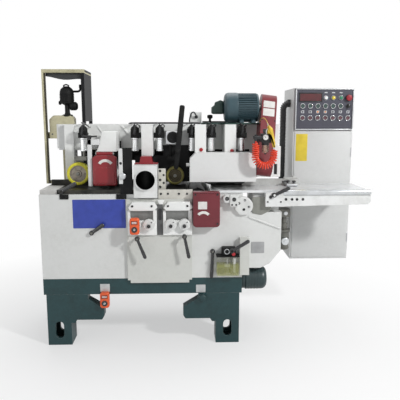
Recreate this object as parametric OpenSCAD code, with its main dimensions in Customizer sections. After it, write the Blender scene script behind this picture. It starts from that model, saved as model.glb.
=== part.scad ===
// Four sided moulder: a cast bed on two legs, four cutterheads, a feed beam that rises on two posts,
// air pressed feed wheels, an infeed table and a switch cabinet.
// X runs along the feed (infeed on the right), Y runs to the back, Z is up, zero is the floor
// under the middle of the four anchor bolts.

/* [Bed] */
// Length of the cast bed along the feed
bed_l = 1080; // [1000:10:1200]
// Depth of the bed from front to back
bed_d = 540; // [520:10:620]
// Height of the table surface above the floor
table_z = 862; // [830:1:900]
// Thickness of the table plates
table_t = 22; // [18:1:26]
// Height of the bed's underside above the floor
bed_floor_z = 378; // [360:1:400]
// Wall thickness of the bed casting
bed_wall = 14; // [10:1:18]
// Reach of the table bracket past the bed's right end
bracket_l = 210; // [195:5:220]
// Drop from the table surface to the top of the table bracket
bracket_drop = 122; // [112:1:130]

/* [Legs] */
// Distance between the two legs, from anchor bolt to anchor bolt
leg_spacing = 924; // [900:2:940]
// Width of a leg's foot along the feed
leg_w = 130; // [110:1:140]
// Depth of a foot from front to back
foot_d = 120; // [100:1:140]
// Wall thickness of the leg casting
leg_wall = 16; // [12:1:20]
// Thickness of the foot's sole
sole_t = 20; // [16:1:26]
// Diameter of an anchor bolt hole
anchor_d = 18; // [14:1:22]
// Height of the base plinth between legs and bed
plinth_h = 88; // [70:1:100]
// Wall thickness of the plinth
plinth_wall = 10; // [6:1:14]

/* [Cutterheads] */
// Cutting diameter of the bottom and top heads
flat_head_d = 120; // [110:1:126]
// Cutting diameter of the two side heads
side_head_d = 100; // [90:1:106]
// Cutting width of the bottom and top heads
flat_head_w = 150; // [130:1:156]
// Height of the side heads
side_head_h = 130; // [100:1:134]
// Diameter of a spindle shaft
spindle_d = 30; // [24:1:36]
// Outer diameter of a spindle motor housing
spindle_motor_d = 96; // [80:1:98]
// How far a knife stands out of its head
knife_out = 3; // [2:0.5:5]
// Travel of the top head upwards
top_head_lift = 50; // [30:1:52]

/* [Feed] */
// Gap between table and wheels with the beam down, the thinnest stock
stock_gap = 12; // [8:1:16]
// Travel of the feed beam upwards
beam_lift = 70; // [50:1:80]
// Travel of a feed wheel against its air cylinder
wheel_lift = 12; // [6:1:12]
// Diameter of the large feed wheels
wheel_d = 124; // [110:1:128]
// Diameter of the middle feed wheel
mid_wheel_d = 100; // [90:1:104]
// Width of a feed wheel
wheel_w = 50; // [40:1:56]
// Diameter of a wheel axle
axle_d = 20; // [16:1:24]
// Diameter of a piston rod
rod_d = 16; // [12:1:20]
// Outer diameter of an air cylinder's tube
air_tube_d = 34; // [30:1:40]
// Diameter of a lift post
post_d = 50; // [40:1:56]
// Diameter of the feed drive shaft
drive_d = 24; // [20:1:28]
// Outer diameter of the feed motor
feed_motor_d = 168; // [150:1:172]
// Diameter of the two belt pulleys
pulley_d = 80; // [70:1:84]
// Lean of the belt guard
guard_lean = 7; // [4:0.5:7]

/* [Cabinet] */
// Width of the switch cabinet
cab_w = 353; // [330:1:380]
// Depth of the switch cabinet
cab_d = 280; // [220:1:320]
// Height of the switch cabinet
cab_h = 1026; // [980:1:1060]
// Height of the cabinet's underside above the floor
cab_z = 386; // [360:1:420]
// Sheet thickness of cabinet, covers and guards
sheet = 3; // [2:0.5:4]
// Diameter of a push button
button_d = 22; // [18:1:26]
// Distance between the panel's buttons
button_pitch = 44.7; // [42:0.1:46]
// Travel of a push button
button_travel = 3; // [2:0.5:3.5]

/* [Dust] */
// Bore of the dust port
port_d = 100; // [90:1:104]
// Length of the dust port's collar
port_l = 15; // [12:1:24]

/* [Air hose] */
// Diameter of the air hose
hose_d = 8; // [6:0.5:8]
// Radius of the hose's curls at the tube's middle
curl_r = 16; // [12:1:16]
// Number of curls
curl_n = 24; // [20:1:24]

/* [Fits] */
// Running clearance of a shaft in its bore
run_gap = 0.05; // [0.02:0.01:0.1]
// Free gap between a sliding piece and its seat
slide_gap = 0.3; // [0.2:0.1:0.5]

/* [Hidden] */
$fn = 48;

// Colours of the finishes
paint_white = "#dcdcda";
paint_teal = "#2b4f50";
paint_red = "#8e2f36";
paint_motor = "#3b5058";
paint_cream = "#cfc9a8";
bare_steel = "#b9bbbd";
black_steel = "#26262a";
orange_plastic = "#f0673a";

// Bed faces
bed_x0 = -bed_l / 2;
bed_x1 = bed_l / 2;
bed_y0 = -bed_d / 2;
bed_y1 = bed_d / 2;
bed_top_z = table_z - table_t;
bracket_x1 = bed_x1 + bracket_l;
bracket_z = table_z - bracket_drop;

// Stock path: the guide's face, and the heads' places along the feed
guide_y = bed_y0 + 230;
guide_t = 24;
guide_h = 30;
bottom_head_x = 300;
rear_head_x = 190;
front_head_x = 20;
top_head_x = -200;
flat_head_r = flat_head_d / 2;
side_head_r = side_head_d / 2;
bottom_head_z = table_z - flat_head_r;
top_head_z = table_z + stock_gap + flat_head_r;
rear_head_y = guide_y + side_head_r;
front_head_y = bed_y0 + 115 - side_head_r;
flat_head_y0 = bed_y0 + 90;
flat_head_y1 = flat_head_y0 + flat_head_w;
side_head_z = bed_top_z + 5;
table_y0 = bed_y0 + 20;
table_y1 = bed_y0 + 390;
head_room = 4;
slot_x0 = bottom_head_x - flat_head_r - head_room;
slot_x1 = bottom_head_x + flat_head_r + head_room;

// Feed beam
beam_y0 = bed_y0 + 290;
beam_y1 = beam_y0 + 100;
beam_z0 = table_z + 198;
beam_z1 = table_z + 343;
beam_x0 = -365;
beam_x1 = 780;
post_y = beam_y1 + 50;
post_xs = [-300, 480];
pillar_y0 = bed_y0 + 120;
wheel_r = wheel_d / 2;
mid_wheel_r = mid_wheel_d / 2;
wheel_y0 = bed_y0 + 127;
wheel_y1 = wheel_y0 + wheel_w;
wheel_z = table_z + stock_gap + wheel_r;
mid_wheel_z = table_z + stock_gap + mid_wheel_r;
fork_y = [wheel_y1 + 3, wheel_y1 + 15];
rod_y = bed_y0 + 165;
fork_top_z = table_z + 168;

// Feed drive
motor_y = bed_y0 + 250;
motor_x0 = 455;
motor_x1 = 646;
motor_base_t = 8;
motor_z = beam_z1 + motor_base_t + feed_motor_d / 2;
drive_y = bed_y0 + 105;
drive_z = table_z + 123;
belt_x = [672, 690];
belt_t = 6;
belt_gap = 0.4;

// Box between two corners, each side given as [low, high]
module block(x, y, z) {
    translate([x[0], y[0], z[0]]) cube([x[1] - x[0], y[1] - y[0], z[1] - z[0]]);
}

// Round bars along X, Y and Z
module bar_x(x, y, z, d) {
    translate([x[0], y, z]) rotate([0, 90, 0]) cylinder(d = d, h = x[1] - x[0]);
}
module bar_y(y, x, z, d) {
    translate([x, y[0], z]) rotate([-90, 0, 0]) cylinder(d = d, h = y[1] - y[0]);
}
module bar_z(z, x, y, d) {
    translate([x, y, z[0]]) cylinder(d = d, h = z[1] - z[0]);
}

// Outline in the X-Z plane, carried along Y
module slab(y, points) {
    translate([0, y[1], 0]) rotate([90, 0, 0]) linear_extrude(y[1] - y[0]) polygon(points);
}

// Hollow box of sheet, closed all round
module case(x, y, z, t) {
    difference() {
        block(x, y, z);
        block([x[0] + t, x[1] - t], [y[0] + t, y[1] - t], [z[0] + t, z[1] - t]);
    }
}

// Legs: two hollow feet under a cross web, with a shelf towards the middle
leg_top_z = bed_floor_z - plinth_h;
foot_y0 = bed_d / 2 - foot_d;
anchor_y = bed_d / 2 - foot_d / 2;
web_z = leg_top_z - 90;
shelf_d = 60;
shelf_l = 180;
shelf_z0 = leg_top_z - 146;
shelf_low_z = leg_top_z - 80;
hand_hole_w = 46;
hand_hole_h = 50;
hand_hole_z = sole_t + 42;

module foot(y0) {
    x = leg_w / 2;
    difference() {
        block([-x, x], [y0, y0 + foot_d], [0, leg_top_z]);
        block([-x + leg_wall, x - leg_wall], [y0 + leg_wall, y0 + foot_d - leg_wall],
              [sole_t, leg_top_z - leg_wall]);
        bar_z([-1, sole_t + 1], 0, y0 + foot_d / 2, anchor_d);
    }
}

module leg() {
    x = leg_w / 2;
    difference() {
        union() {
            foot(-bed_d / 2);
            foot(foot_y0);
            block([-x, x], [-foot_y0, foot_y0], [web_z, leg_top_z]);
            slab([-bed_d / 2, -bed_d / 2 + shelf_d], [
                [x, shelf_z0 - 18], [x + 20, shelf_z0 - 18], [x + 32, shelf_z0], [x + shelf_l - 12, shelf_z0],
                [x + shelf_l, shelf_z0 + 20], [x + shelf_l, shelf_low_z], [x + shelf_l - 84, leg_top_z - 28],
                [x + shelf_l - 84, leg_top_z], [x, leg_top_z]]);
        }
        block([-hand_hole_w / 2, hand_hole_w / 2], [-bed_d / 2 - 1, bed_d / 2 + 1],
              [hand_hole_z, hand_hole_z + hand_hole_h]);
        for (z = [hand_hole_z, hand_hole_z + hand_hole_h])
            bar_y([-bed_d / 2 - 1, bed_d / 2 + 1], 0, z, hand_hole_w);
    }
}

module legs() {
    color(paint_teal) {
        translate([-leg_spacing / 2, 0, 0]) leg();
        translate([leg_spacing / 2, 0, 0]) mirror([1, 0, 0]) leg();
    }
}

// Plinth that ties the legs together and carries the bed
plinth_x = bed_x1;
module base_frame() {
    color(paint_teal)
        case([-plinth_x, plinth_x], [bed_y0, bed_y1], [leg_top_z, bed_floor_z], plinth_wall);
}

// Bed: a hollow casting, with a hollow bracket for the infeed table and the cabinet's arm at its end
arm_y = [bed_y0 + 370, bed_y0 + 510];
arm_z = [bracket_z - 180, bracket_z];
bracket_low_z = bed_floor_z + 52;
cab_x0 = bracket_x1 + 122;
shaft_hole_d = spindle_d + 10;

function bracket_outline(x0, t) = [
    [x0, bracket_low_z + t], [bed_x1 + 100 - t / 2, bracket_low_z + t],
    [bracket_x1 - 60 - t / 2, bracket_low_z + 25 + t], [bracket_x1 - t, bracket_low_z + 100 + t],
    [bracket_x1 - t, bracket_z - t], [x0, bracket_z - t]];

module bed_casting() {
    color(paint_white) {
        difference() {
            case([bed_x0, bed_x1], [bed_y0, bed_y1], [bed_floor_z, bed_top_z], bed_wall);
            block([slot_x0, slot_x1], [bed_y0 + bed_wall, bed_y1 - bed_wall],
                  [bed_top_z - bed_wall - 1, bed_top_z + 1]);
            bar_z([bed_top_z - bed_wall - 1, bed_top_z + 1], rear_head_x, rear_head_y, shaft_hole_d);
            bar_z([bed_top_z - bed_wall - 1, bed_top_z + 1], front_head_x, front_head_y, shaft_hole_d);
        }
        difference() {
            union() {
                slab([bed_y0, bed_y1], bracket_outline(bed_x1 - bed_wall / 2, 0));
                block([bracket_x1 - bed_wall / 2, cab_x0], arm_y, arm_z);
            }
            slab([bed_y0 + bed_wall, bed_y1 - bed_wall], bracket_outline(bed_x1 + bed_wall, bed_wall));
        }
    }
}

// Front panel over the adjusters' drive, and the plate beside the oil pump
panel_t = 15;
panel_x = [-81, 266];
panel_z = [bed_floor_z - 22, bed_top_z - 24];
panel_y0 = bed_y0 - panel_t;
pump_plate_x = [bed_x1 - 17, bed_x1 + 35];
module front_panel() {
    color(paint_white) {
        difference() {
            block(panel_x, [panel_y0, bed_y0], panel_z);
            for (x = [panel_x[0], panel_x[1] - 14])
                block([x - 1, x + 15], [panel_y0 - 1, bed_y0 + 1], [panel_z[0] - 1, panel_z[0] + 16]);
        }
        block(pump_plate_x, [bed_y0 - 30, bed_y0], [bed_floor_z + 21, bed_floor_z + 227]);
    }
}

// Table: the plate with its cut-outs for the side heads, the outfeed guide and the machined edge strip
dust_x = [front_head_x - side_head_r - 8, front_head_x + side_head_r + 15];
lever_pin_d = 12;
outfeed_lever_x = -425;
outfeed_lever_z = table_z - 7;
strip_t = 12;
module table_plates() {
    color(bare_steel) {
        difference() {
            block([bed_x0, slot_x0], [table_y0, table_y1], [bed_top_z, table_z]);
            bar_z([bed_top_z - 1, table_z + 1], rear_head_x, rear_head_y, side_head_d + 2 * head_room);
            block([dust_x[0] - head_room, dust_x[1] + head_room],
                  [table_y0 - 1, front_head_y + side_head_r + head_room], [bed_top_z - 1, table_z + 1]);
        }
        for (x = [[bed_x0 + 10, top_head_x - flat_head_r - 15],
                  [top_head_x + flat_head_r + 15, rear_head_x - side_head_r - 20]])
            block(x, [guide_y, guide_y + guide_t], [table_z, table_z + guide_h]);
        block([dust_x[1] + head_room, panel_x[1] + 4], [bed_y0 - strip_t, bed_y0], [bed_top_z - 24, table_z + 4]);
        block([dust_x[1] + head_room, dust_x[1] + 45], [table_y0, table_y0 + strip_t], [table_z, table_z + 112]);
        bar_y([table_y0 - 26, table_y0], outfeed_lever_x, outfeed_lever_z, lever_pin_d);
    }
}

// Spindle motors: one lying for the bottom head with its front bearing, two standing for the side heads
bearing_d = 70;
standing_motor_l = 266;
lying_motor_y0 = flat_head_y1 + 40;
shaft_depth = 90;
module spindle_motors() {
    bore_d = spindle_d + 2 * run_gap;
    inner_top = bed_top_z - bed_wall;
    color(paint_motor) {
        difference() {
            bar_y([lying_motor_y0, bed_y1 - bed_wall], bottom_head_x, bottom_head_z, spindle_motor_d);
            bar_y([lying_motor_y0 - 1, lying_motor_y0 + shaft_depth + 2], bottom_head_x, bottom_head_z, bore_d);
        }
        difference() {
            bar_y([bed_y0 + bed_wall, flat_head_y0 - 10], bottom_head_x, bottom_head_z, bearing_d);
            bar_y([bed_y0 + bed_wall + 10, flat_head_y0 - 9], bottom_head_x, bottom_head_z, bore_d);
        }
        for (p = [[rear_head_x, rear_head_y], [front_head_x, front_head_y]])
            difference() {
                bar_z([inner_top - standing_motor_l, inner_top], p[0], p[1], spindle_motor_d);
                bar_z([inner_top - shaft_depth - 2, inner_top + 1], p[0], p[1], bore_d);
            }
    }
}

// Columns behind the table: two lift posts with flanges, and the way of the top head's slide
post_flange_d = 90;
post_flange_t = 15;
way_y0 = bed_y1 - 45;
way_half = 40;
module lift_columns() {
    color(bare_steel) {
        for (x = post_xs) {
            bar_z([bed_top_z, beam_z1 - 5], x, post_y, post_d);
            bar_z([bed_top_z, bed_top_z + post_flange_t], x, post_y, post_flange_d);
        }
        block([top_head_x - way_half, top_head_x + way_half], [way_y0, bed_y1 - 8],
              [bed_top_z, top_head_z + top_head_lift + 76]);
    }
}

// Dust box round the front side head, with its round port
dust_y = [bed_y0 - 35, bed_y0 + 105];
dust_z1 = table_z + 134;
port_z = table_z + 58;
module dust_box() {
    mid_x = (dust_x[0] + dust_x[1]) / 2;
    collar_d = port_d + 8;
    color(paint_white)
        difference() {
            union() {
                block(dust_x, [dust_y[0], bed_y0], [bed_top_z - 14, dust_z1]);
                block(dust_x, [bed_y0, dust_y[1]], [bed_top_z, dust_z1]);
                bar_y([dust_y[0] + sheet - port_l, dust_y[0]], mid_x, port_z, collar_d);
            }
            block([dust_x[0] + sheet, dust_x[1] - sheet], [dust_y[0] + sheet, dust_y[1] + 1],
                  [bed_top_z - 14 + sheet, dust_z1 - sheet]);
            bar_y([dust_y[0] + sheet - port_l - 1, dust_y[0] + sheet + 1], mid_x, port_z, port_d);
        }
}

// Fixed red guards: the hood on the dust box and the box over the bottom head's front end
bottom_guard_x = [271, 413];
bottom_guard_z = [table_z - 192, bed_top_z + 18];
module cutter_guards() {
    hood_z = dust_z1;
    color(paint_red) {
        slab([bed_y0 + 30, bed_y0 + 100], [
            [dust_x[0], hood_z], [dust_x[1], hood_z], [dust_x[1], hood_z + 6], [dust_x[1] - 26, hood_z + 6],
            [dust_x[1] - 34, hood_z + 42], [dust_x[0] + 34, hood_z + 42], [dust_x[0] + 26, hood_z + 6],
            [dust_x[0], hood_z + 6]]);
        difference() {
            block(bottom_guard_x, [bed_y0 - 60, bed_y0], bottom_guard_z);
            block([bottom_guard_x[0] + sheet, bottom_guard_x[1] - sheet], [bed_y0 - 60 + sheet, bed_y0 + 1],
                  [bottom_guard_z[0] + sheet, bottom_guard_z[1] - sheet]);
        }
    }
}

// Black curtain at the table's front edge, left of the dust box
module side_shroud() {
    color(black_steel)
        block([-112, dust_x[0] - head_room - 6], [table_y0 - 12, table_y0], [bed_top_z, table_z + 223]);
}

// Switch cabinet, hung on the bracket's arm, and its control panel
cab_y0 = bed_y0 + 330;
cab_x1 = cab_x0 + cab_w;
cab_z1 = cab_z + cab_h;
panel_plate_t = 10;
plate_x = [cab_x0 + 6, cab_x1 - 2];
plate_z = [cab_z1 - 242, cab_z1 - 2];
plate_y0 = cab_y0 - panel_plate_t;
button_x0 = cab_x0 + 50;
lamp_z = cab_z1 - 56;
start_z = cab_z1 - 103;
stop_z = cab_z1 - 172;
start_n = 6;
stop_n = 7;
button_gap = 0.3;
function button_x(i) = button_x0 + i * button_pitch;
estop_x = button_x(6);

module control_cabinet() {
    color(paint_white) case([cab_x0, cab_x1], [cab_y0, cab_y0 + cab_d], [cab_z, cab_z1], sheet);
}

module control_panel() {
    hole_d = button_d + 2 * button_gap;
    color("#4a4c58") {
        difference() {
            block(plate_x, [plate_y0, cab_y0], plate_z);
            for (i = [0 : start_n - 1])
                bar_y([plate_y0 - 1, cab_y0 + 1], button_x(i), start_z, hole_d);
            for (i = [0 : stop_n - 1])
                bar_y([plate_y0 - 1, cab_y0 + 1], button_x(i), stop_z, hole_d);
            bar_y([plate_y0 - 1, cab_y0 + 1], estop_x, lamp_z, hole_d);
            bar_y([plate_y0 - 1, cab_y0 + 1], estop_x, start_z, selector_stem_d + 2 * run_gap);
        }
        for (i = [3 : 5]) bar_y([plate_y0 - 8, plate_y0], button_x(i), lamp_z, button_d);
    }
}

button_out = 8;
button_in = panel_plate_t - button_travel - 1;
module button(i, z) {
    bar_y([plate_y0 - button_out, plate_y0 + button_in], button_x(i), z, button_d);
}
module start_buttons() {
    color("#c9cbcc") for (i = [0 : start_n - 1]) button(i, start_z);
}
module stop_buttons() {
    color("#b8a7a4") for (i = [0 : stop_n - 1]) button(i, stop_z);
}
estop_head_d = 36;
module estop_button() {
    color("#c23a3f") {
        button(6, lamp_z);
        bar_y([plate_y0 - button_out - 12, plate_y0 - button_out], estop_x, lamp_z, estop_head_d);
    }
}
selector_stem_d = 16;
module selector_knob() {
    color(black_steel) {
        bar_y([plate_y0, cab_y0 - 2], estop_x, start_z, selector_stem_d);
        bar_y([plate_y0 - 6, plate_y0 - button_gap], estop_x, start_z, button_d + 4);
        block([estop_x - 4, estop_x + 4], [plate_y0 - 18, plate_y0 - 6], [start_z - 13, start_z + 13]);
        bar_y([plate_y0 - 6, plate_y0], estop_x, start_z, selector_stem_d);
    }
}

// Adjusters on the front panel: two plates with a flange, a window and two screw caps each,
// the disc and clamps of the infeed side, and the pins that the clamp levers turn on
adj_t = 15;
adj_y0 = panel_y0 - adj_t;
adj_xs = [3, 190];
adj_w = 154;
adj_z = [table_z - 238, table_z - 58];
flange_t = 12;
cap_d = 62;
cap_l = 24;
cap_z = adj_z[0] + 60;
cap_dx = 36;
stem_d = 20;
adj_lever_p = [[adj_xs[0] - 26, adj_z[0] - 12], [adj_xs[1] + 36, adj_z[0] - 2]];
panel_lever_p = [-268, table_z - 228];
drain_lever_p = [378, table_z - 335];
lever_hub_l = 16;
lever_gap = 2;
disc_p = [bed_x1 + 2, table_z - 86];
stop_block_x = [bed_x1 - 74, bed_x1 - 28];

module adjuster(x) {
    difference() {
        block([x - adj_w / 2, x + adj_w / 2], [adj_y0, panel_y0], adj_z);
        block([x - adj_w / 2 + 15, x + adj_w / 2 - 20], [adj_y0 - 1, adj_y0 + 8], [adj_z[1] - 100, adj_z[1] - 50]);
    }
    slab([adj_y0 - flange_t, adj_y0], [
        [x - adj_w / 2 + 15, adj_z[1] - 46], [x + adj_w / 2 - 15, adj_z[1] - 46],
        [x + adj_w / 2 + 4, adj_z[1] - 30], [x + adj_w / 2 - 12, adj_z[1]], [x - adj_w / 2 + 26, adj_z[1]]]);
    for (s = [-1, 1]) {
        bar_y([adj_y0 - cap_l, adj_y0], x + s * cap_dx, cap_z, cap_d);
        bar_y([adj_y0 - cap_l - 8, adj_y0 - cap_l], x + s * cap_dx, cap_z - 6, stem_d);
    }
}

module spindle_adjusters() {
    color(bare_steel) {
        for (x = adj_xs) adjuster(x);
        block([adj_xs[0] + adj_w / 2 + 6, adj_xs[1] - adj_w / 2 - 6], [panel_y0 - 8, panel_y0], adj_z);
        for (p = adj_lever_p)
            bar_y([adj_y0 - cap_l - lever_hub_l - 4, panel_y0], p[0], p[1], lever_pin_d);
        for (p = [panel_lever_p, drain_lever_p])
            bar_y([bed_y0 - lever_gap - lever_hub_l - 4, bed_y0], p[0], p[1], lever_pin_d);
        bar_y([bed_y0 - 20, bed_y0], disc_p[0], disc_p[1], 100);
        block(stop_block_x, [bed_y0 - 36, bed_y0], [table_z - 86, table_z - 24]);
        bar_y([bed_y0 - 30, bed_y0], stop_block_x[0] - 14, table_z - 46, 44);
        bar_y([bed_y0 - 32, bed_y0], leg_spacing / 2 - leg_w / 2 - 72, leg_top_z - 20, 40);
    }
}

// Orange counters on the left adjuster and on the left leg's shelf
counter_w = 50;
counter_h = 88;
module counter(x, z, y1) {
    difference() {
        block([x - counter_w / 2, x + counter_w / 2], [y1 - 30, y1], [z - counter_h / 2, z + counter_h / 2]);
        block([x - 15, x + 15], [y1 - 31, y1 - 24], [z + 12, z + 30]);
    }
    bar_y([y1 - 34, y1 - 30], x, z - 16, 30);
}
module position_counters() {
    color(orange_plastic) {
        counter(adj_xs[0] - cap_dx, cap_z, adj_y0 - cap_l - 8);
        counter(-leg_spacing / 2 + leg_w / 2 + shelf_l + 9, leg_top_z - 26, bed_y0);
    }
}

// Hand oil pump on a clear reservoir
oil_x = [396, 521];
oil_y = [bed_y0 - 56, bed_y0];
oil_z = [bed_floor_z + 22, bed_floor_z + 128];
pump_x = [425, 501];
pump_pin_p = [478, oil_z[1] + 36];
module oil_reservoir() {
    color("#d9d58a", 0.6)
        difference() {
            block(oil_x, oil_y, oil_z);
            block([oil_x[0] + sheet, oil_x[1] - sheet], [oil_y[0] + sheet, oil_y[1] - sheet],
                  [oil_z[0] + sheet, oil_z[1] + 1]);
        }
}
module oil_pump() {
    pump_y = [oil_y[0] + 6, bed_y0];
    color(black_steel) {
        block(oil_x, oil_y, [oil_z[1], oil_z[1] + 6]);
        block(pump_x, pump_y, [oil_z[1] + 6, oil_z[1] + 50]);
        bar_y([pump_y[0] - lever_gap - lever_hub_l - 4, pump_y[0]], pump_pin_p[0], pump_pin_p[1], lever_pin_d);
    }
}

// Clamp lever: a hub on its pin and a bar, drawn along its length from the hub
lever_hub_d = 26;
lever_bar_w = 16;
module lever(p, y1, tip) {
    run = norm(tip - p);
    lean = atan2(tip[1] - p[1], tip[0] - p[0]);
    y0 = y1 - lever_hub_l;
    difference() {
        union() {
            bar_y([y0, y1], p[0], p[1], lever_hub_d);
            translate([p[0], 0, p[1]]) rotate([0, -lean, 0]) {
                block([lever_pin_d / 2 + 2.5, run], [y0, y0 + 10], [-lever_bar_w / 2, lever_bar_w / 2]);
                bar_y([y0 - 2, y0 + 12], run, 0, lever_bar_w + 4);
            }
        }
        bar_y([y0 - 3, y1 + 1], p[0], p[1], lever_pin_d + 2 * run_gap);
    }
}
adj_lever_y1 = adj_y0 - cap_l;
module adjuster_lever_1() {
    p = adj_lever_p[0];
    color(black_steel) lever(p, adj_lever_y1, p + [40, -98]);
}
module adjuster_lever_2() {
    p = adj_lever_p[1];
    color(black_steel) lever(p, adj_lever_y1, p + [22, -108]);
}
module panel_lever() {
    p = panel_lever_p;
    color(black_steel) lever(p, bed_y0 - lever_gap, p + [60, 42]);
}
module drain_lever() {
    p = drain_lever_p;
    color(black_steel) lever(p, bed_y0 - lever_gap, p + [-6, -140]);
}
module outfeed_lever() {
    p = [outfeed_lever_x, outfeed_lever_z];
    color(black_steel)
        lever(p, table_y0 - lever_gap, p + [75, 42]);
}
module pump_handle() {
    p = pump_pin_p;
    color(black_steel) lever(p, oil_y[0] + 6 - lever_gap, p + [84, 52]);
}

// Cable conduit from the bracket up to the cabinet's side
conduit_d = 40;
conduit_x = cab_x0 - 40;
conduit_bend = 36;
conduit_z = cab_z1 - 84;
module conduit() {
    y = (arm_y[0] + arm_y[1]) / 2;
    color(black_steel) {
        bar_z([arm_z[1], conduit_z - conduit_bend], conduit_x, y, conduit_d);
        translate([conduit_x + conduit_bend, y, conduit_z - conduit_bend]) rotate([90, 0, 0])
            rotate([0, 0, 90]) rotate_extrude(angle = 90) translate([conduit_bend, 0]) circle(d = conduit_d);
        bar_x([conduit_x + conduit_bend, cab_x0], y, conduit_z, conduit_d);
    }
}

// Open guard frame behind the outfeed end: a ring of square tube, a rear post, a roof and a side panel
frame_x = [-623, -370];
frame_y = [bed_y1 - 70, bed_y1 + 170];
frame_z1 = table_z + 666;
tube = 20;
gear_x = [-520, -450];
gear_y = [frame_y[0] + tube + 5, bed_y1 - 2];
gear_z = table_z + 388;
module frame_ring(y) {
    difference() {
        block(frame_x, y, [bed_top_z, frame_z1]);
        block([frame_x[0] + tube, frame_x[1] - tube], [y[0] - 1, y[1] + 1], [bed_top_z + tube, frame_z1 - tube]);
    }
}
module rear_guard_frame() {
    side = [frame_x[1] - tube, frame_x[1]];
    color(paint_cream) {
        frame_ring([frame_y[0], frame_y[0] + tube]);
        block(side, [frame_y[1] - tube, frame_y[1]], [bed_top_z, frame_z1 - sheet]);
        block(side, [frame_y[0] + tube, frame_y[1] - tube], [bed_top_z, bed_top_z + tube]);
        block(frame_x, [frame_y[0] + tube, frame_y[1]], [frame_z1 - sheet, frame_z1]);
        block([frame_x[1] - sheet, frame_x[1]], [frame_y[0] + tube, frame_y[1] - tube],
              [beam_z1 + 15, frame_z1 - sheet]);
        block([frame_x[0], gear_x[0]], [frame_y[0] + tube, frame_y[0] + 2 * tube], [gear_z - 134, gear_z - 96]);
        block(gear_x, gear_y, [bed_top_z, gear_z]);
    }
}

// Geared motor with its hand crank on the frame's pedestal
gear_d = 84;
module gear_motor() {
    x = gear_x[0] + 32;
    y = (gear_y[0] + gear_y[1]) / 2;
    color(black_steel) {
        bar_z([gear_z, gear_z + 76], x, y, 30);
        bar_z([gear_z + 76, gear_z + 140], x, y, gear_d);
        translate([x, y, gear_z + 140]) intersection() {
            sphere(d = gear_d);
            block([-gear_d, gear_d], [-gear_d, gear_d], [0, gear_d]);
        }
        bar_x([x + 20, x + 60], y, gear_z + 62, 52);
        bar_x([x + 30, x + 90], y, gear_z + 150, 16);
        bar_z([gear_z + 142, gear_z + 192], x + 84, y, 16);
        bar_z([gear_z, gear_z + 10], x, y, 64);
    }
}

// Motor at the plinth's right end, which drives the beam's lift
lift_motor_d = 128;
lift_motor_l = 144;
module lift_motor() {
    z = leg_top_z + 62;
    y = bed_y0 + 80;
    color("#33413f") {
        bar_x([plinth_x, plinth_x + lift_motor_l - 30], y, z, lift_motor_d);
        bar_x([plinth_x + lift_motor_l - 30, plinth_x + lift_motor_l], y, z, lift_motor_d - 8);
    }
}

// Feed beam: a hollow box on the posts, pillars in front of it, the outfeed carrier and the end plate
lug_half = 45;
pillar_w = 62;
pillar_xs = [-6, 286, 450];
pillar_z0s = [table_z + 172, fork_top_z + wheel_lift + 3, fork_top_z + wheel_lift + 3];
carrier_x = [-439, -388];
carrier_box_w = 48;
motor_block_x = [262, 330];
end_plate_x = [600, beam_x1];
end_plate_y = [guide_y - 8, guide_y];
end_plate_z0 = table_z + 43;
end_slot_x = [743, 761];
module feed_beam() {
    color(paint_white) {
        difference() {
            union() {
                case([beam_x0, beam_x1], [beam_y0, beam_y1], [beam_z0, beam_z1], 10);
                for (x = post_xs)
                    block([x - lug_half, x + lug_half], [beam_y1, post_y + lug_half], [beam_z0, beam_z1]);
            }
            for (x = post_xs)
                bar_z([beam_z0 - 1, beam_z1 + 1], x, post_y, post_d + 2 * run_gap);
        }
        for (i = [0 : 2])
            block([pillar_xs[i], pillar_xs[i] + pillar_w], [pillar_y0, beam_y0], [pillar_z0s[i], beam_z1]);
        block(carrier_x, [fork_y[1] + 6, beam_y0], [table_z + guide_h + 8, beam_z1]);
        block([carrier_x[0], beam_x0 + 35], [beam_y0 - 60, beam_y0], [beam_z0, beam_z1]);
        difference() {
            union() {
                block(end_plate_x, end_plate_y, [end_plate_z0, beam_z0 + 20]);
                block([beam_x1 - 80, beam_x1], [end_plate_y[1], beam_y0], [beam_z0, beam_z0 + 20]);
            }
            block(end_slot_x, [end_plate_y[0] - 1, end_plate_y[1] + 1], [end_plate_z0 + 14, end_plate_z0 + 74]);
        }
        block([carrier_x[0] - carrier_box_w, carrier_x[0]], [beam_y0 - 60, beam_y0], [beam_z0 + 10, beam_z1]);
        block(motor_block_x, [motor_y + 82, beam_y1 - 2], [beam_z1, beam_z1 + 69]);
    }
}

// Cover in front of the infeed wheels, which also holds the drive shaft's bearings
cover_x = [258, 613];
cover_y0 = bed_y0 + 35;
cover_z = [table_z + 38, fork_top_z + wheel_lift + 14];
bearing_wall = 12;
cover_cut = 30;
module feed_beam_cover() {
    color(paint_white)
        difference() {
            slab([cover_y0, pillar_y0], [
                [cover_x[0], cover_z[0]], [cover_x[1], cover_z[0]], [cover_x[1], cover_z[1] - cover_cut],
                [cover_x[1] - cover_cut, cover_z[1]], [cover_x[0] + cover_cut, cover_z[1]],
                [cover_x[0], cover_z[1] - cover_cut]]);
            slab([cover_y0 + sheet, pillar_y0 + 1], [
                [cover_x[0] + bearing_wall, cover_z[0] - 1], [cover_x[1] - bearing_wall, cover_z[0] - 1],
                [cover_x[1] - bearing_wall, cover_z[1] - cover_cut], [cover_x[1] - cover_cut, cover_z[1] - sheet],
                [cover_x[0] + cover_cut, cover_z[1] - sheet],
                [cover_x[0] + bearing_wall, cover_z[1] - cover_cut]]);
            bar_x([cover_x[0] - 1, cover_x[1] + 1], drive_y, drive_z, drive_d + 2 * run_gap);
        }
}

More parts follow.
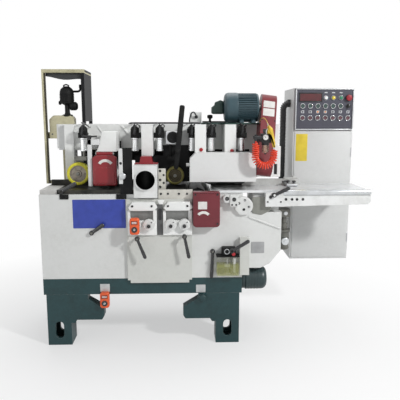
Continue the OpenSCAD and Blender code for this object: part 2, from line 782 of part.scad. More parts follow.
// Black shroud behind the middle wheel, hung on the beam
shroud_x = [108, 258];
shroud_y = [fork_y[1] + 8, fork_y[1] + 14];
shroud_z = [table_z + stock_gap + 8, beam_z1 - 35];
screen_x0 = -50;
lever_pivot = [192, table_z + 198];
press_pin_d = 16;
press_lever_t = 15;
press_lever_y1 = wheel_y0 - 10;
module wheel_shroud() {
    color(black_steel) {
        block(shroud_x, shroud_y, shroud_z);
        block([screen_x0, shroud_x[0]], shroud_y, [shroud_z[0], pillar_z0s[0] - 4]);
        block(shroud_x, [shroud_y[1], beam_y0], [beam_z0, beam_z0 + 25]);
        bar_y([press_lever_y1 - press_lever_t - 3, shroud_y[0]], lever_pivot[0], lever_pivot[1], press_pin_d);
    }
}

// Tall hand lever in front of the middle wheel
press_lever_top = [26, 250];
press_lever_low = [-12, -100];
press_lever_w = 30;
module press_lever() {
    lean = atan2(press_lever_top[0] - press_lever_low[0], press_lever_top[1] - press_lever_low[1]);
    y = [press_lever_y1 - press_lever_t, press_lever_y1];
    color(black_steel)
        difference() {
            translate([lever_pivot[0], 0, lever_pivot[1]]) rotate([0, lean, 0])
                block([-press_lever_w / 2, press_lever_w / 2], y, [press_lever_low[1], press_lever_top[1]]);
            bar_y([y[0] - 1, y[1] + 1], lever_pivot[0], lever_pivot[1], press_pin_d + 2 * run_gap);
        }
}

// Air cylinders on the pillars' sides: a black head, a bright tube and the middle wheel's block
air_z = [beam_z0, beam_z0 + 71, beam_z1 - 3];
rod_bore_z = beam_z0 + 65;
rod_top_z = rod_bore_z - wheel_lift - 3;
outfeed_rod_x = -327;
middle_rod_x = 150;
infeed_rod_xs = [378, 546];
air_head_y1 = fork_y[1] + 6;
air_heads = [
    [carrier_x[1], -300, outfeed_rod_x, air_head_y1 + 14], [-70, pillar_xs[0], -44, air_head_y1],
    [pillar_xs[0] + pillar_w, 120, 93, air_head_y1], [250, pillar_xs[1], 268, air_head_y1],
    [pillar_xs[1] + pillar_w, 408, infeed_rod_xs[0], air_head_y1],
    [pillar_xs[2] + pillar_w, 578, infeed_rod_xs[1], air_head_y1]];
knob_p = [165, table_z + 273];
module air_cylinders() {
    color(black_steel) {
        for (h = air_heads)
            difference() {
                union() {
                    block([h[0], h[1]], [rod_y - 25, h[3]], [air_z[1], air_z[2]]);
                    bar_z([air_z[0], air_z[1]], h[2], rod_y, air_tube_d);
                }
                bar_z([air_z[0] - 1, rod_bore_z], h[2], rod_y, rod_d + 2 * run_gap);
            }
        difference() {
            block([middle_rod_x - 24, 200], [rod_y - 25, shroud_y[0]], [air_z[0] + 36, air_z[2] - 36]);
            bar_z([air_z[0] + 35, rod_bore_z + 25], middle_rod_x, rod_y, rod_d + 2 * run_gap);
        }
        bar_y([rod_y - 45, rod_y - 25], knob_p[0], knob_p[1], 64);
        bar_x([-80, 240], beam_y0 + 12, beam_z1 + 6, 12);
    }
}

// Feed motor: a ribbed frame, fan cover, terminal box and base plate
fan_l = 75;
rib_n = 24;
rib_t = 4;
module feed_motor() {
    frame_d = feed_motor_d - 22;
    bore_d = spindle_d - 2 + 2 * run_gap;
    color(paint_motor) {
        difference() {
            union() {
                bar_x([motor_x0, motor_x0 + fan_l], motor_y, motor_z, feed_motor_d);
                bar_x([motor_x0 + fan_l, motor_x1 - 12], motor_y, motor_z, frame_d);
                bar_x([motor_x1 - 12, motor_x1], motor_y, motor_z, feed_motor_d - 10);
                translate([0, motor_y, motor_z]) for (i = [0 : rib_n - 1]) rotate([i * 360 / rib_n, 0, 0])
                    block([motor_x0 + fan_l, motor_x1 - 12], [frame_d / 2 - 3, feed_motor_d / 2 - 4],
                          [-rib_t / 2, rib_t / 2]);
                for (x = [motor_x0 + fan_l + 8, motor_x1 - 40])
                    block([x, x + 22], [motor_y - 70, motor_y + 70],
                          [beam_z1 + motor_base_t, beam_z1 + motor_base_t + 22]);
                block([324, motor_x1], [motor_y - 80, motor_y + 80], [beam_z1, beam_z1 + motor_base_t]);
                block([motor_x0 - 70, motor_x0], [motor_y + 20, motor_y + 80], [motor_z - 45, motor_z + 45]);
            }
            bar_x([motor_x1 - 61, motor_x1 + 1], motor_y, motor_z, bore_d);
        }
    }
}

// Belt drive: a belt round two equal pulleys, in a guard that leans along the feed
belt_run = sqrt(pow(drive_y - motor_y, 2) + pow(drive_z - motor_z, 2));
belt_tilt = atan2(motor_y - drive_y, motor_z - drive_z);
guard_r = 62;
guard_w = 84;
guard_over = 14;
guard_mid_x = 663.5;
guard_hole_gap = 5;
boss_x = [652, 690];
boss_z = [drive_z - 20, drive_z + 40];

// Place on the drive shaft's axis, from which the belt's plane runs up to the motor
module belt_plane(x) {
    translate([x, drive_y, drive_z]) rotate([-belt_tilt, 0, 0]) rotate([90, 0, 90]) children();
}

// Half ring or half disc of the belt's plane, from radius r0 to r1
module half_ring(r0, r1, w) {
    rotate_extrude(angle = 180) translate([r0, 0]) square([r1 - r0, w]);
}

// Flat bar with round ends about the belt's plane, w thick and centred on it
module round_bar(r, w) {
    run = belt_run + guard_over;
    translate([0, 0, -w / 2]) {
        rotate([0, 0, 180]) half_ring(0, r, w);
        translate([0, run, 0]) half_ring(0, r, w);
        block([-r, r], [0, run], [0, w]);
    }
}
module guard_shell(r, w) {
    translate([guard_mid_x, drive_y, drive_z]) rotate([0, guard_lean, 0]) translate([0, -drive_y, -drive_z])
        belt_plane(0) round_bar(r, w);
}
module belt_guard() {
    color(paint_red)
        difference() {
            union() {
                guard_shell(guard_r, guard_w);
                block(boss_x, [drive_y + guard_r - 14, end_plate_y[0]], boss_z);
            }
            guard_shell(guard_r - sheet, guard_w - 2 * sheet);
            bar_x([guard_mid_x - guard_w, guard_mid_x], drive_y, drive_z, drive_d + 2 * guard_hole_gap);
            bar_x([motor_x1, motor_x1 + guard_w / 2], motor_y, motor_z, spindle_d + 4 * guard_hole_gap);
        }
}
module feed_belt() {
    r = pulley_d / 2 + belt_gap;
    w = belt_x[1] - belt_x[0];
    color("#1c1c1e")
        belt_plane(belt_x[0]) {
            rotate([0, 0, 180]) half_ring(r, r + belt_t, w);
            translate([0, belt_run, 0]) half_ring(r, r + belt_t, w);
            block([-r - belt_t, -r], [0, belt_run], [0, w]);
            block([r, r + belt_t], [0, belt_run], [0, w]);
        }
}
module motor_pulley() {
    color(bare_steel) {
        bar_x(belt_x, motor_y, motor_z, pulley_d);
        bar_x([motor_x1 - 60, belt_x[1]], motor_y, motor_z, spindle_d - 2);
    }
}
gear_ring_d = 36;
module feed_drive_shaft() {
    color(bare_steel) {
        bar_x([cover_x[0] - 20, belt_x[1]], drive_y, drive_z, drive_d);
        bar_x(belt_x, drive_y, drive_z, pulley_d);
        for (x = infeed_rod_xs) bar_x([x - 14, x + 14], drive_y, drive_z, gear_ring_d);
    }
}

// Air service unit on the cover's end: bracket, regulator, gauge, bowl, hose outlet and hook
unit_x = [630, 680];
unit_y = [bed_y0 - 15, bed_y0 + 30];
unit_z = [table_z + 248, table_z + 298];
hose_x0 = 600;
hose_y = bed_y0 - 20;
hose_z1 = table_z + 260;
bowl_d = 36;
module air_service_unit() {
    mid = [(unit_x[0] + unit_x[1]) / 2, (unit_y[0] + unit_y[1]) / 2];
    color(black_steel) {
        block([cover_x[1], cover_x[1] + 6], [unit_y[1], pillar_y0], [cover_z[1] - 50, unit_z[1] - 10]);
        block([hose_x0 - 8, unit_x[0]], [hose_y - 8, unit_y[1]], [hose_z1 + 6, hose_z1 + 24]);
        block(unit_x, unit_y, unit_z);
        bar_z([hose_z1, hose_z1 + 6], hose_x0, hose_y, hose_d + 6);
        bar_z([unit_z[1], unit_z[1] + 24], mid[0], mid[1], 26);
        bar_z([unit_z[0] - 54, unit_z[0]], mid[0], mid[1], bowl_d);
        bar_y([unit_y[0] - 14, unit_y[0]], mid[0] - 4, unit_z[0] + 30, 34);
        block([unit_x[1], unit_x[1] + 14], [unit_y[0], unit_y[0] + 6], [unit_z[0], unit_z[0] + 30]);
    }
}

// Air gun, hung in front of its hook, with the hose at its handle's end
hose_bend_r = 48;
hose_x1 = hose_x0 + 2 * hose_bend_r;
gun_z0 = table_z + 224;
gun_t = 16;
module air_gun() {
    y1 = unit_y[0];
    color("#e8c33a")
        slab([y1 - gun_t, y1], [
            [hose_x1 - 7, gun_z0], [hose_x1 + 7, gun_z0], [hose_x1 + 5, gun_z0 + 26], [hose_x1 - 8, gun_z0 + 64],
            [hose_x1 - 22, gun_z0 + 108], [hose_x1 - 32, gun_z0 + 114], [hose_x1 - 42, gun_z0 + 108],
            [hose_x1 - 34, gun_z0 + 96], [hose_x1 - 38, gun_z0 + 72], [hose_x1 - 28, gun_z0 + 70],
            [hose_x1 - 20, gun_z0 + 62]]);
}

// Curled air hose: a helix about a hanging U, straight for one diameter at both ends
hose_low_z = table_z + 178;
curl_rings = 8;
hose_sides = 6;
hose_left = hose_z1 - hose_d - hose_low_z;
hose_right = gun_z0 - hose_d - hose_low_z;
hose_arc = 180 * hose_bend_r * PI / 180;
hose_run = hose_left + hose_arc + hose_right;

// Place, direction and in-plane normal on the U at run s
function u_turn(s) = (s - hose_left) / hose_arc * 180;
function u_place(s) = s < hose_left ? [hose_x0, hose_low_z + hose_left - s]
    : s < hose_left + hose_arc
        ? [hose_x0 + hose_bend_r * (1 - cos(u_turn(s))), hose_low_z - hose_bend_r * sin(u_turn(s))]
        : [hose_x1, hose_low_z + s - hose_left - hose_arc];
function u_normal(s) = s < hose_left ? [-1, 0]
    : s < hose_left + hose_arc ? [-cos(u_turn(s)), -sin(u_turn(s))] : [1, 0];

// Curl radius grows from nothing over the first curl and shrinks over the last
function curl_size(t) = curl_r * min(1, t, curl_n - t);
function curl_point(i) =
    let (t = i / curl_rings, s = hose_run * t / curl_n, a = 360 * t, r = curl_size(t),
         c = u_place(s), n = u_normal(s))
    [c[0] + r * cos(a) * n[0], hose_y + r * sin(a), c[1] + r * cos(a) * n[1]];
curl_count = curl_n * curl_rings;
hose_points = concat(
    [[hose_x0, hose_y, hose_z1]],
    [for (i = [0 : curl_count]) curl_point(i)],
    [[hose_x1, hose_y, gun_z0]]);

// Rings of the tube, square to the route
function unit(v) = v / norm(v);
function hose_way(k) = k == 0 ? [0, 0, -1] : k == len(hose_points) - 1 ? [0, 0, 1]
    : unit(hose_points[k + 1] - hose_points[k - 1]);
function hose_ring(k) =
    let (w = hose_way(k), u = hose_sides_frame[k], v = cross(w, u))
    [for (j = [0 : hose_sides - 1]) let (a = 360 * j / hose_sides)
        hose_points[k] + hose_d / 2 * (cos(a) * u + sin(a) * v)];

// Side vectors carried along the route, so that the rings don't turn against each other
function carried(k, u) = let (w = hose_way(k)) unit(u - (u * w) * w);
hose_sides_frame = [for (k = 0, u = [1, 0, 0]; k < len(hose_points); k = k + 1,
                         u = k < len(hose_points) ? carried(k, u) : u) u];
module air_hose() {
    n = len(hose_points);
    m = hose_sides;
    color("#f0543a") polyhedron(
        points = [for (k = [0 : n - 1]) each hose_ring(k)],
        faces = concat(
            [for (j = [1 : m - 2]) [0, j, j + 1]],
            [for (k = [0 : n - 2]) for (j = [0 : m - 1])
                each [[k * m + j, (k + 1) * m + j, k * m + (j + 1) % m],
                      [k * m + (j + 1) % m, (k + 1) * m + j, (k + 1) * m + (j + 1) % m]]],
            [for (j = [1 : m - 2]) [(n - 1) * m, (n - 1) * m + j + 1, (n - 1) * m + j]]));
}

// Least gap of the hose to itself, taken between rings at least three quarters of a curl apart
hose_gap = min([for (i = [0 : len(hose_points) - 8]) for (j = [i + 6 : len(hose_points) - 1])
    norm(hose_points[i] - hose_points[j])]) - hose_d;
echo(least_hose_gap = hose_gap);

// Top head's slide: face plate, motor and the block that runs on the way
slide_half = 65;
slide_y = [guide_y + 20, guide_y + 56];
slide_z = [table_z + 6, table_z + 248];
top_motor_y1 = way_y0 - 25;
top_motor_d = 130;
module top_spindle_slide() {
    x = top_head_x;
    color(paint_motor)
        difference() {
            union() {
                block([x - slide_half, x + slide_half], slide_y, slide_z);
                bar_y([slide_y[1], top_motor_y1], x, top_head_z, top_motor_d);
                block([x - way_half - 5, x + way_half + 5], [top_motor_y1, way_y0 - slide_gap],
                      [top_head_z - 60, top_head_z + 60]);
            }
            bar_y([slide_y[0] - 1, slide_y[0] + shaft_depth + 2], x, top_head_z, spindle_d + 2 * run_gap);
        }
}

// Chip hood over the top head, with the guard's hinge pin and the post at the guard's side
chute_y = [bed_y0 + 80, slide_y[0]];
chute_z = [table_z + 198, table_z + 304];
guard_pin_d = 8;
guard_hinge = [chute_y[0], chute_z[0] - 10];
knuckle_d = 18;
top_guard_x = [top_head_x - slide_half, top_head_x + slide_half];
chute_post_x = [top_guard_x[0] - 26, top_guard_x[0] - 3];
chute_post_y = [chute_y[0] - 10, chute_y[0] + sheet];
chute_post_z1 = table_z + 265;
function chute_outline(t, over) = [
    [top_head_x - 48 + t, chute_z[0] - over], [top_head_x + 60 - t, chute_z[0] - over],
    [top_head_x + 64 - t, chute_z[1] - t], [top_head_x - 22 + t, chute_z[1] - t]];
module dust_chute() {
    color(paint_white) {
        difference() {
            slab(chute_y, chute_outline(0, 0));
            slab([chute_y[0] + sheet, chute_y[1] - sheet], chute_outline(sheet, 1));
        }
        for (x = [top_guard_x[0] + 17, top_guard_x[1] - 20])
            block([x, x + sheet], [guard_hinge[0] - 6, guard_hinge[0] + 6], [guard_hinge[1] - 6, chute_z[0]]);
        bar_x([top_guard_x[0] + 17, top_guard_x[1] - 17], guard_hinge[0], guard_hinge[1], guard_pin_d);
        block(chute_post_x, chute_post_y, [table_z + stock_gap, chute_post_z1]);
        block([chute_post_x[0], top_head_x - 25], chute_post_y, [chute_post_z1 - 30, chute_post_z1]);
    }
}

// Red guard in front of the top head, hinged under the hood
top_guard_y = [chute_y[0] - 22, chute_y[0] + 4];
top_guard_z = [table_z + stock_gap + 4, guard_hinge[1] - knuckle_d / 2];
module top_guard() {
    x = [top_guard_x[0] + 22, top_guard_x[1] - 22];
    color(paint_red)
        difference() {
            union() {
                difference() {
                    block(top_guard_x, top_guard_y, top_guard_z);
                    block([top_guard_x[0] + sheet, top_guard_x[1] - sheet], [top_guard_y[0] + sheet, top_guard_y[1] + 1],
                          [top_guard_z[0] + sheet, top_guard_z[1] - sheet]);
                }
                bar_x(x, guard_hinge[0], guard_hinge[1], knuckle_d);
                block(x, [guard_hinge[0] - 7, guard_hinge[0] + 3], [top_guard_z[1] - sheet, guard_hinge[1]]);
            }
            bar_x([x[0] - 1, x[1] + 1], guard_hinge[0], guard_hinge[1], guard_pin_d + 2 * run_gap);
        }
}

// Cutterhead about Z: round body, four knives and the shaft below, from [shaft, body] down to a front stub
knife_n = 4;
module cutterhead(d, l, shaft_l, stub_l) {
    color(bare_steel) {
        cylinder(d = d - 2 * knife_out, h = l);
        for (i = [0 : knife_n - 1]) rotate([0, 0, i * 360 / knife_n])
            block([d / 2 - 12, sqrt(d * d / 4 - 16)], [-4, 4], [4, l - 4]);
        translate([0, 0, -shaft_l]) cylinder(d = spindle_d, h = shaft_l + l + stub_l);
    }
}
nut_l = 12;
module rear_cutterhead() {
    inner_top = bed_top_z - bed_wall;
    translate([rear_head_x, rear_head_y, side_head_z])
        cutterhead(side_head_d, side_head_h, side_head_z - inner_top + shaft_depth, nut_l);
}
module front_cutterhead() {
    inner_top = bed_top_z - bed_wall;
    translate([front_head_x, front_head_y, side_head_z])
        cutterhead(side_head_d, side_head_h - 10, side_head_z - inner_top + shaft_depth, nut_l);
}
module bottom_cutterhead() {
    stub = flat_head_y0 - (bed_y0 + bed_wall + 12);
    translate([bottom_head_x, flat_head_y1, bottom_head_z]) rotate([90, 0, 0])
        cutterhead(flat_head_d, flat_head_w, lying_motor_y0 - flat_head_y1 + shaft_depth, stub);
}
module top_cutterhead() {
    translate([top_head_x, flat_head_y1, top_head_z]) rotate([90, 0, 0])
        cutterhead(flat_head_d, flat_head_w, slide_y[0] - flat_head_y1 + shaft_depth, 4);
}

// Feed wheel carriers: a plate behind the wheel, its axle, a bridge over the wheel and the piston rod
bridge_h = 22;
module wheel_arm(x, z, bridge_x) {
    block([x - 22, x + 22], fork_y, [z - 20, fork_top_z - bridge_h]);
    bar_y([wheel_y0 - 4, fork_y[0]], x, z, axle_d);
    block(bridge_x, [rod_y - 16, fork_y[1]], [fork_top_z - bridge_h, fork_top_z]);
}
module piston_rod(x, z1) {
    bar_z([fork_top_z, z1], x, rod_y, rod_d);
}
outfeed_wheel_x = -357;
middle_wheel_x = 176;
infeed_wheel_xs = [377, 530];
module outfeed_fork() {
    color(black_steel) {
        wheel_arm(outfeed_wheel_x, wheel_z, [outfeed_wheel_x - 22, outfeed_rod_x + 16]);
        piston_rod(outfeed_rod_x, rod_top_z);
    }
}
module middle_fork() {
    color(black_steel) {
        wheel_arm(middle_wheel_x, mid_wheel_z, [middle_rod_x - 16, middle_wheel_x + 22]);
        piston_rod(middle_rod_x, rod_bore_z + 25 - wheel_lift - 3);
    }
}
module infeed_fork() {
    color(black_steel) {
        for (x = infeed_wheel_xs) wheel_arm(x, wheel_z, [infeed_wheel_xs[0] - 22, infeed_rod_xs[1] + 16]);
        for (x = infeed_rod_xs) piston_rod(x, rod_top_z);
    }
}

// Feed wheels: a tyre with flat sides, a recessed hub and the bore
module feed_wheel(x, z, r) {
    rim = 14;
    translate([x, wheel_y0, z]) rotate([-90, 0, 0]) difference() {
        cylinder(r = r, h = wheel_w);
        translate([0, 0, -1]) difference() {
            cylinder(r = r - rim, h = 9);
            translate([0, 0, -1]) cylinder(d = axle_d + 20, h = 11);
        }
        translate([0, 0, -1]) cylinder(d = axle_d + 2 * run_gap, h = wheel_w + 2);
    }
}
module outfeed_wheel() {
    color("#e4e04a") feed_wheel(outfeed_wheel_x, wheel_z, wheel_r);
}
module middle_wheel() {
    color("#8f8a4e") feed_wheel(middle_wheel_x, mid_wheel_z, mid_wheel_r);
}
module infeed_wheel_1() {
    color("#3a3a3d") feed_wheel(infeed_wheel_xs[0], wheel_z, wheel_r);
}
module infeed_wheel_2() {
    color("#3a3a3d") feed_wheel(infeed_wheel_xs[1], wheel_z, wheel_r);
}

// Infeed table: a plate with a round corner, its front casting, the slide block on the bracket and a clamp
infeed_drop = 6;
infeed_t = 14;
infeed_x = [slot_x1 + 2, cab_x1 - 3];
infeed_y = [table_y0, beam_y0];
infeed_z1 = table_z - infeed_drop;
infeed_z0 = infeed_z1 - infeed_t;
corner_r = 60;
casting_x = [bed_x1 + 120, cab_x1 + 10];
casting_y = [table_y0 - 12, table_y0 + 20];
casting_h = 76;
clamp_x = [bed_x1 + 117, bed_x1 + 211];
clamp_y0 = bed_y0 - 30;
fence_lever_p = [bed_x1 + 160, infeed_z1 - 18];
module infeed_table() {
    color("#cfd1d2") {
        block([infeed_x[0], infeed_x[1] - corner_r], infeed_y, [infeed_z0, infeed_z1]);
        block([infeed_x[1] - corner_r, infeed_x[1]], [infeed_y[0] + corner_r, infeed_y[1]], [infeed_z0, infeed_z1]);
        intersection() {
            bar_z([infeed_z0, infeed_z1], infeed_x[1] - corner_r, infeed_y[0] + corner_r, 2 * corner_r);
            block([infeed_x[1] - corner_r, infeed_x[1]], [infeed_y[0], infeed_y[0] + corner_r], [infeed_z0, infeed_z1]);
        }
        slab(casting_y, [
            [casting_x[0], infeed_z0 - casting_h], [casting_x[1] - 14, infeed_z0 - casting_h + 12],
            [casting_x[1], infeed_z0 - casting_h + 26], [casting_x[1], infeed_z0], [casting_x[0], infeed_z0]]);
        block([bed_x1 + 60, bracket_x1 - 10], [table_y0 + 20, infeed_y[1]], [bracket_z + slide_gap, infeed_z0]);
        block(clamp_x, [clamp_y0, casting_y[0]], [infeed_z0 - casting_h + 8, infeed_z0 + 6]);
        bar_y([clamp_y0 - lever_gap - lever_hub_l - 4, clamp_y0], fence_lever_p[0], fence_lever_p[1], lever_pin_d);
    }
}
module fence_lever() {
    p = fence_lever_p;
    color(black_steel) lever(p, clamp_y0 - lever_gap, p + [74, 36]);
}

// Guide fence on the infeed table, with its clamp block behind it
fence_block_x = [cab_x0 - 59, cab_x0 + 11];
fence_block_z1 = table_z + 36;
module guide_fence() {
    x = [infeed_x[0] + 14, cab_x0 + 20];
    color("#d8dadb") {
        block(x, [guide_y, guide_y + guide_t], [infeed_z1 + slide_gap, table_z + guide_h]);
        block(fence_block_x, [guide_y + guide_t, guide_y + guide_t + 30], [infeed_z1 + slide_gap, fence_block_z1]);
        bar_z([fence_block_z1, fence_block_z1 + 8], fence_block_x[1] - 17, guide_y + guide_t + 15, 18);
    }
}

base_frame();
legs();
bed_casting();
front_panel();
table_plates();
spindle_motors();
lift_columns();
dust_box();
cutter_guards();
side_shroud();
control_cabinet();
control_panel();
spindle_adjusters();
position_counters();
oil_pump();
oil_reservoir();
conduit();
rear_guard_frame();
gear_motor();
lift_motor();
feed_beam();
feed_beam_cover();
wheel_shroud();
air_cylinders();
feed_motor();
belt_guard();
feed_belt();
air_service_unit();
air_hose();
air_gun();
top_spindle_slide();
dust_chute();
top_guard();
bottom_cutterhead();
rear_cutterhead();
front_cutterhead();
top_cutterhead();
motor_pulley();
feed_drive_shaft();
outfeed_fork();
middle_fork();
infeed_fork();
outfeed_wheel();
middle_wheel();
infeed_wheel_1();
infeed_wheel_2();
infeed_table();
guide_fence();
press_lever();
adjuster_lever_1();
adjuster_lever_2();
panel_lever();
outfeed_lever();
fence_lever();
drain_lever();
pump_handle();
estop_button();
selector_knob();
start_buttons();
stop_buttons();
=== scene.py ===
"""Four sided moulder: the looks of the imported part, in its own frame.

Sizes are in millimetres until a mesh is made. X runs along the feed, Y to the back, Z up.
"""
import math

import bmesh
import bpy
import mathutils
import numpy as np
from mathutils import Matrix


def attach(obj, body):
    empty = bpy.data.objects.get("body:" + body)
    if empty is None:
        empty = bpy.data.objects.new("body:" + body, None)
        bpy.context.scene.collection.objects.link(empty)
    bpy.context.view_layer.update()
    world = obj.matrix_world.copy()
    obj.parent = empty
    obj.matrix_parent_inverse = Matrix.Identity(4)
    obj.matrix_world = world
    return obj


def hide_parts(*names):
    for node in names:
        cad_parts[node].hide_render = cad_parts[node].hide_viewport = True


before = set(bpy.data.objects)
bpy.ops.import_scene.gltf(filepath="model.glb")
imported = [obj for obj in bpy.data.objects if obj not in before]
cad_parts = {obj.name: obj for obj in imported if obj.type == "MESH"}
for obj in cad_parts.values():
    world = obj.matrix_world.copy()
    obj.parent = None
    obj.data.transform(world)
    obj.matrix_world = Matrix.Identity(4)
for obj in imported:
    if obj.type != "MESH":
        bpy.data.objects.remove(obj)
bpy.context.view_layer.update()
scene = bpy.context.scene
scene.view_settings.view_transform = "Standard"

MM = 1000.0  # millimetres in a metre
UP, DOWN, FEED, OUT, BACK = (0, 0, 1), (0, 0, -1), (1, 0, 0), (0, -1, 0), (0, 1, 0)

# Camera: a 45 mm lens on a 36 mm frame, a little above the table and turned a little towards the infeed end
CAMERA_AT = (218.0, -2900.0, 1234.0)
PITCH = math.radians(9.2)
YAW = math.radians(2.0)
camera = bpy.data.objects.new("camera", bpy.data.cameras.new("camera"))
camera.data.lens = 45.0
camera.data.sensor_width = 36.0
camera.location = [c / MM for c in CAMERA_AT]
camera.rotation_euler = (math.pi / 2 - PITCH, 0.0, -YAW)
scene.collection.objects.link(camera)
scene.camera = camera


# Shapes: each function returns (points, faces) in millimetres

def grid_faces(rows, columns, around=False):
    """Quads between neighbours of a rows by columns grid; around joins the last column to the first."""
    last = columns if around else columns - 1
    i, j = np.meshgrid(np.arange(rows - 1), np.arange(last), indexing="ij")
    k = (j + 1) % columns
    quads = [i * columns + j, i * columns + k, (i + 1) * columns + k, (i + 1) * columns + j]
    return np.stack(quads, -1).reshape(-1, 4)


def unit(v):
    """Vectors along the last axis, each divided by its length."""
    v = np.asarray(v, float)
    return v / np.maximum(np.linalg.norm(v, axis=-1, keepdims=True), 1e-12)


def sides_of(axis):
    """Two unit vectors square to an axis and to each other."""
    axis = unit(axis)
    helper = np.array([0.0, 0.0, 1.0]) if abs(axis[2]) < 0.9 else np.array([1.0, 0.0, 0.0])
    first = unit(np.cross(helper, axis))
    return first, np.cross(axis, first)


def turned(profile, centre, axis, n=40):
    """Surface of revolution of (r, h) pairs: point(h, a) = centre + h axis + r (cos a side1 + sin a side2)."""
    profile = np.asarray(profile, float)
    axis = unit(axis)
    side1, side2 = sides_of(axis)
    a = np.arange(n) * 2 * np.pi / n
    ring = np.cos(a)[:, None] * side1 + np.sin(a)[:, None] * side2
    points = np.asarray(centre, float) + profile[:, None, 1:] * axis + profile[:, None, :1] * ring[None]
    return points.reshape(-1, 3), grid_faces(len(profile), n, around=True)


def disc_profile(r, h0, h1, edge):
    """Half outline of a solid round bar from h0 to h1 with quarter round edges."""
    t = np.linspace(0, np.pi / 2, 5)
    low = np.stack([r - edge + edge * np.sin(t), h0 + edge - edge * np.cos(t)], -1)
    high = np.stack([r - edge + edge * np.cos(t), h1 - edge + edge * np.sin(t)], -1)
    return np.concatenate([[[0, h0]], low, high, [[0, h1]]])


def rod(start, end, r, edge=1.0, n=32):
    """Round bar with rounded ends from start to end."""
    start, end = np.asarray(start, float), np.asarray(end, float)
    length = np.linalg.norm(end - start)
    return turned(disc_profile(r, 0, length, edge), start, end - start, n)


def rounded_box(low, high, r, steps=3):
    """Box with rounded edges: a cube grid pulled to the inner box, plus r along the way that is left over."""
    low, high = np.asarray(low, float), np.asarray(high, float)
    half, mid = (high - low) / 2, (high + low) / 2
    r = min(r, 0.98 * half.min())
    near = r * np.linspace(0, 1, steps + 1)
    lines = [np.concatenate([-h + near, (h - near)[::-1]]) for h in half]
    points, faces, count = [], [], 0
    for a in range(3):
        b, c = (a + 1) % 3, (a + 2) % 3
        u, v = np.meshgrid(lines[b], lines[c], indexing="ij")
        for s in (-1, 1):
            p = np.empty(u.shape + (3,))
            p[..., a], p[..., b], p[..., c] = s * half[a], u, v
            core = np.clip(p, -(half - r), half - r)
            points.append((core + r * unit(p - core) + mid).reshape(-1, 3))
            quads = grid_faces(*u.shape)
            faces.append((quads if s > 0 else quads[:, ::-1]) + count)
            count += u.size
    return np.concatenate(points), np.concatenate(faces)


def round_corners(outline, r, steps=5):
    """Outline whose corners become arcs, from tangent point to tangent point, d = r / tan(half angle) away."""
    outline = np.asarray(outline, float)
    r = np.broadcast_to(np.asarray(r, float), len(outline))
    before, after = unit(np.roll(outline, 1, 0) - outline), unit(np.roll(outline, -1, 0) - outline)
    half = np.arccos(np.clip((before * after).sum(-1), -1, 1)) / 2
    d = r / np.tan(half)
    centre = outline + unit(before + after) * (r / np.sin(half))[:, None]
    start, end = outline + before * d[:, None] - centre, outline + after * d[:, None] - centre
    t = np.linspace(0, 1, steps + 1)[None, :, None]
    arc = unit(start[:, None] * (1 - t) + end[:, None] * t) * r[:, None, None]
    return (centre[:, None] + arc).reshape(-1, 2)


def rectangle(x, z, r):
    """Outline of a rectangle between two X and two Z, its corners of radius r."""
    return round_corners([(x[0], z[0]), (x[1], z[0]), (x[1], z[1]), (x[0], z[1])], r)


def capped(rows, n):
    """Faces of a tube of rows by n points, with a flat end at its first and at its last row."""
    ends = [tuple(range(n)), tuple(range((rows - 1) * n, rows * n))]
    return [tuple(q) for q in grid_faces(rows, n, around=True)] + ends


def slab(outline, depth, r=1.0, along="y"):
    """Plate: an outline carried from depth[0] to depth[1]; both rims are drawn in by r with a quarter round."""
    outline = np.asarray(outline, float)
    following = np.roll(outline, -1, 0)
    turn = unit(unit(outline - np.roll(outline, 1, 0)) + unit(following - outline))
    area = np.sum(outline[:, 0] * following[:, 1] - outline[:, 1] * following[:, 0])
    inward = np.stack([-turn[:, 1], turn[:, 0]], -1) * np.sign(area)
    t = np.linspace(0, np.pi / 2, 4)
    drawn = np.concatenate([r * (1 - np.sin(t)), r * (1 - np.cos(t))])
    place = np.concatenate([depth[0] + r * (1 - np.cos(t)), depth[1] - r + r * np.sin(t)])
    flat = outline[None] + inward[None] * drawn[:, None, None]
    level = np.broadcast_to(place[:, None], flat.shape[:2])
    first, second = flat[..., 0], flat[..., 1]
    order = (first, level, second) if along == "y" else (level, first, second)
    return np.stack(order, -1).reshape(-1, 3), capped(len(place), len(outline))


TUBE_HELPER = np.array([0.31, 0.87, 0.38])  # a direction that no tube here runs along


def tube(path, r, n=12, normals=None, flat=1.0):
    """Round tube: a ring of radius r square to the path at each of its points, with flat ends; flat squeezes the
    ring across the normals, so that a lever's arm is an oval."""
    path = np.asarray(path, float)
    way = unit(np.gradient(path, axis=0))
    if normals is None:
        normals = np.cross(way, TUBE_HELPER)
    side = unit(normals - (normals * way).sum(-1, keepdims=True) * way)
    other = np.cross(way, side)
    a = np.arange(n) * 2 * np.pi / n
    r = np.broadcast_to(np.asarray(r, float), len(path))[:, None, None]
    ring = np.cos(a)[None, :, None] * side[:, None] + flat * np.sin(a)[None, :, None] * other[:, None]
    return (path[:, None] + r * ring).reshape(-1, 3), capped(len(path), n)


def curve_through(points, n=40):
    """Smooth route: Catmull-Rom, q(t) = 0.5 (2b + (c - a) t + (2a - 5b + 4c - d) t2 + (3b - a - 3c + d) t3)."""
    p = np.asarray(points, float)
    p = np.concatenate([[2 * p[0] - p[1]], p, [2 * p[-1] - p[-2]]])
    s = np.linspace(0, len(p) - 3 - 1e-9, n)
    i = s.astype(int)
    t = (s - i)[:, None]
    a, b, c, d = p[i], p[i + 1], p[i + 2], p[i + 3]
    return 0.5 * (2 * b + (c - a) * t + (2 * a - 5 * b + 4 * c - d) * t ** 2 + (3 * b - a - 3 * c + d) * t ** 3)


def together(*shapes):
    """Several shapes as one: points stacked, faces shifted by the points before them."""
    points, faces, count = [], [], 0
    for p, f in shapes:
        points.append(p)
        faces += [tuple(int(v) + count for v in face) for face in f]
        count += len(p)
    return np.concatenate(points), faces


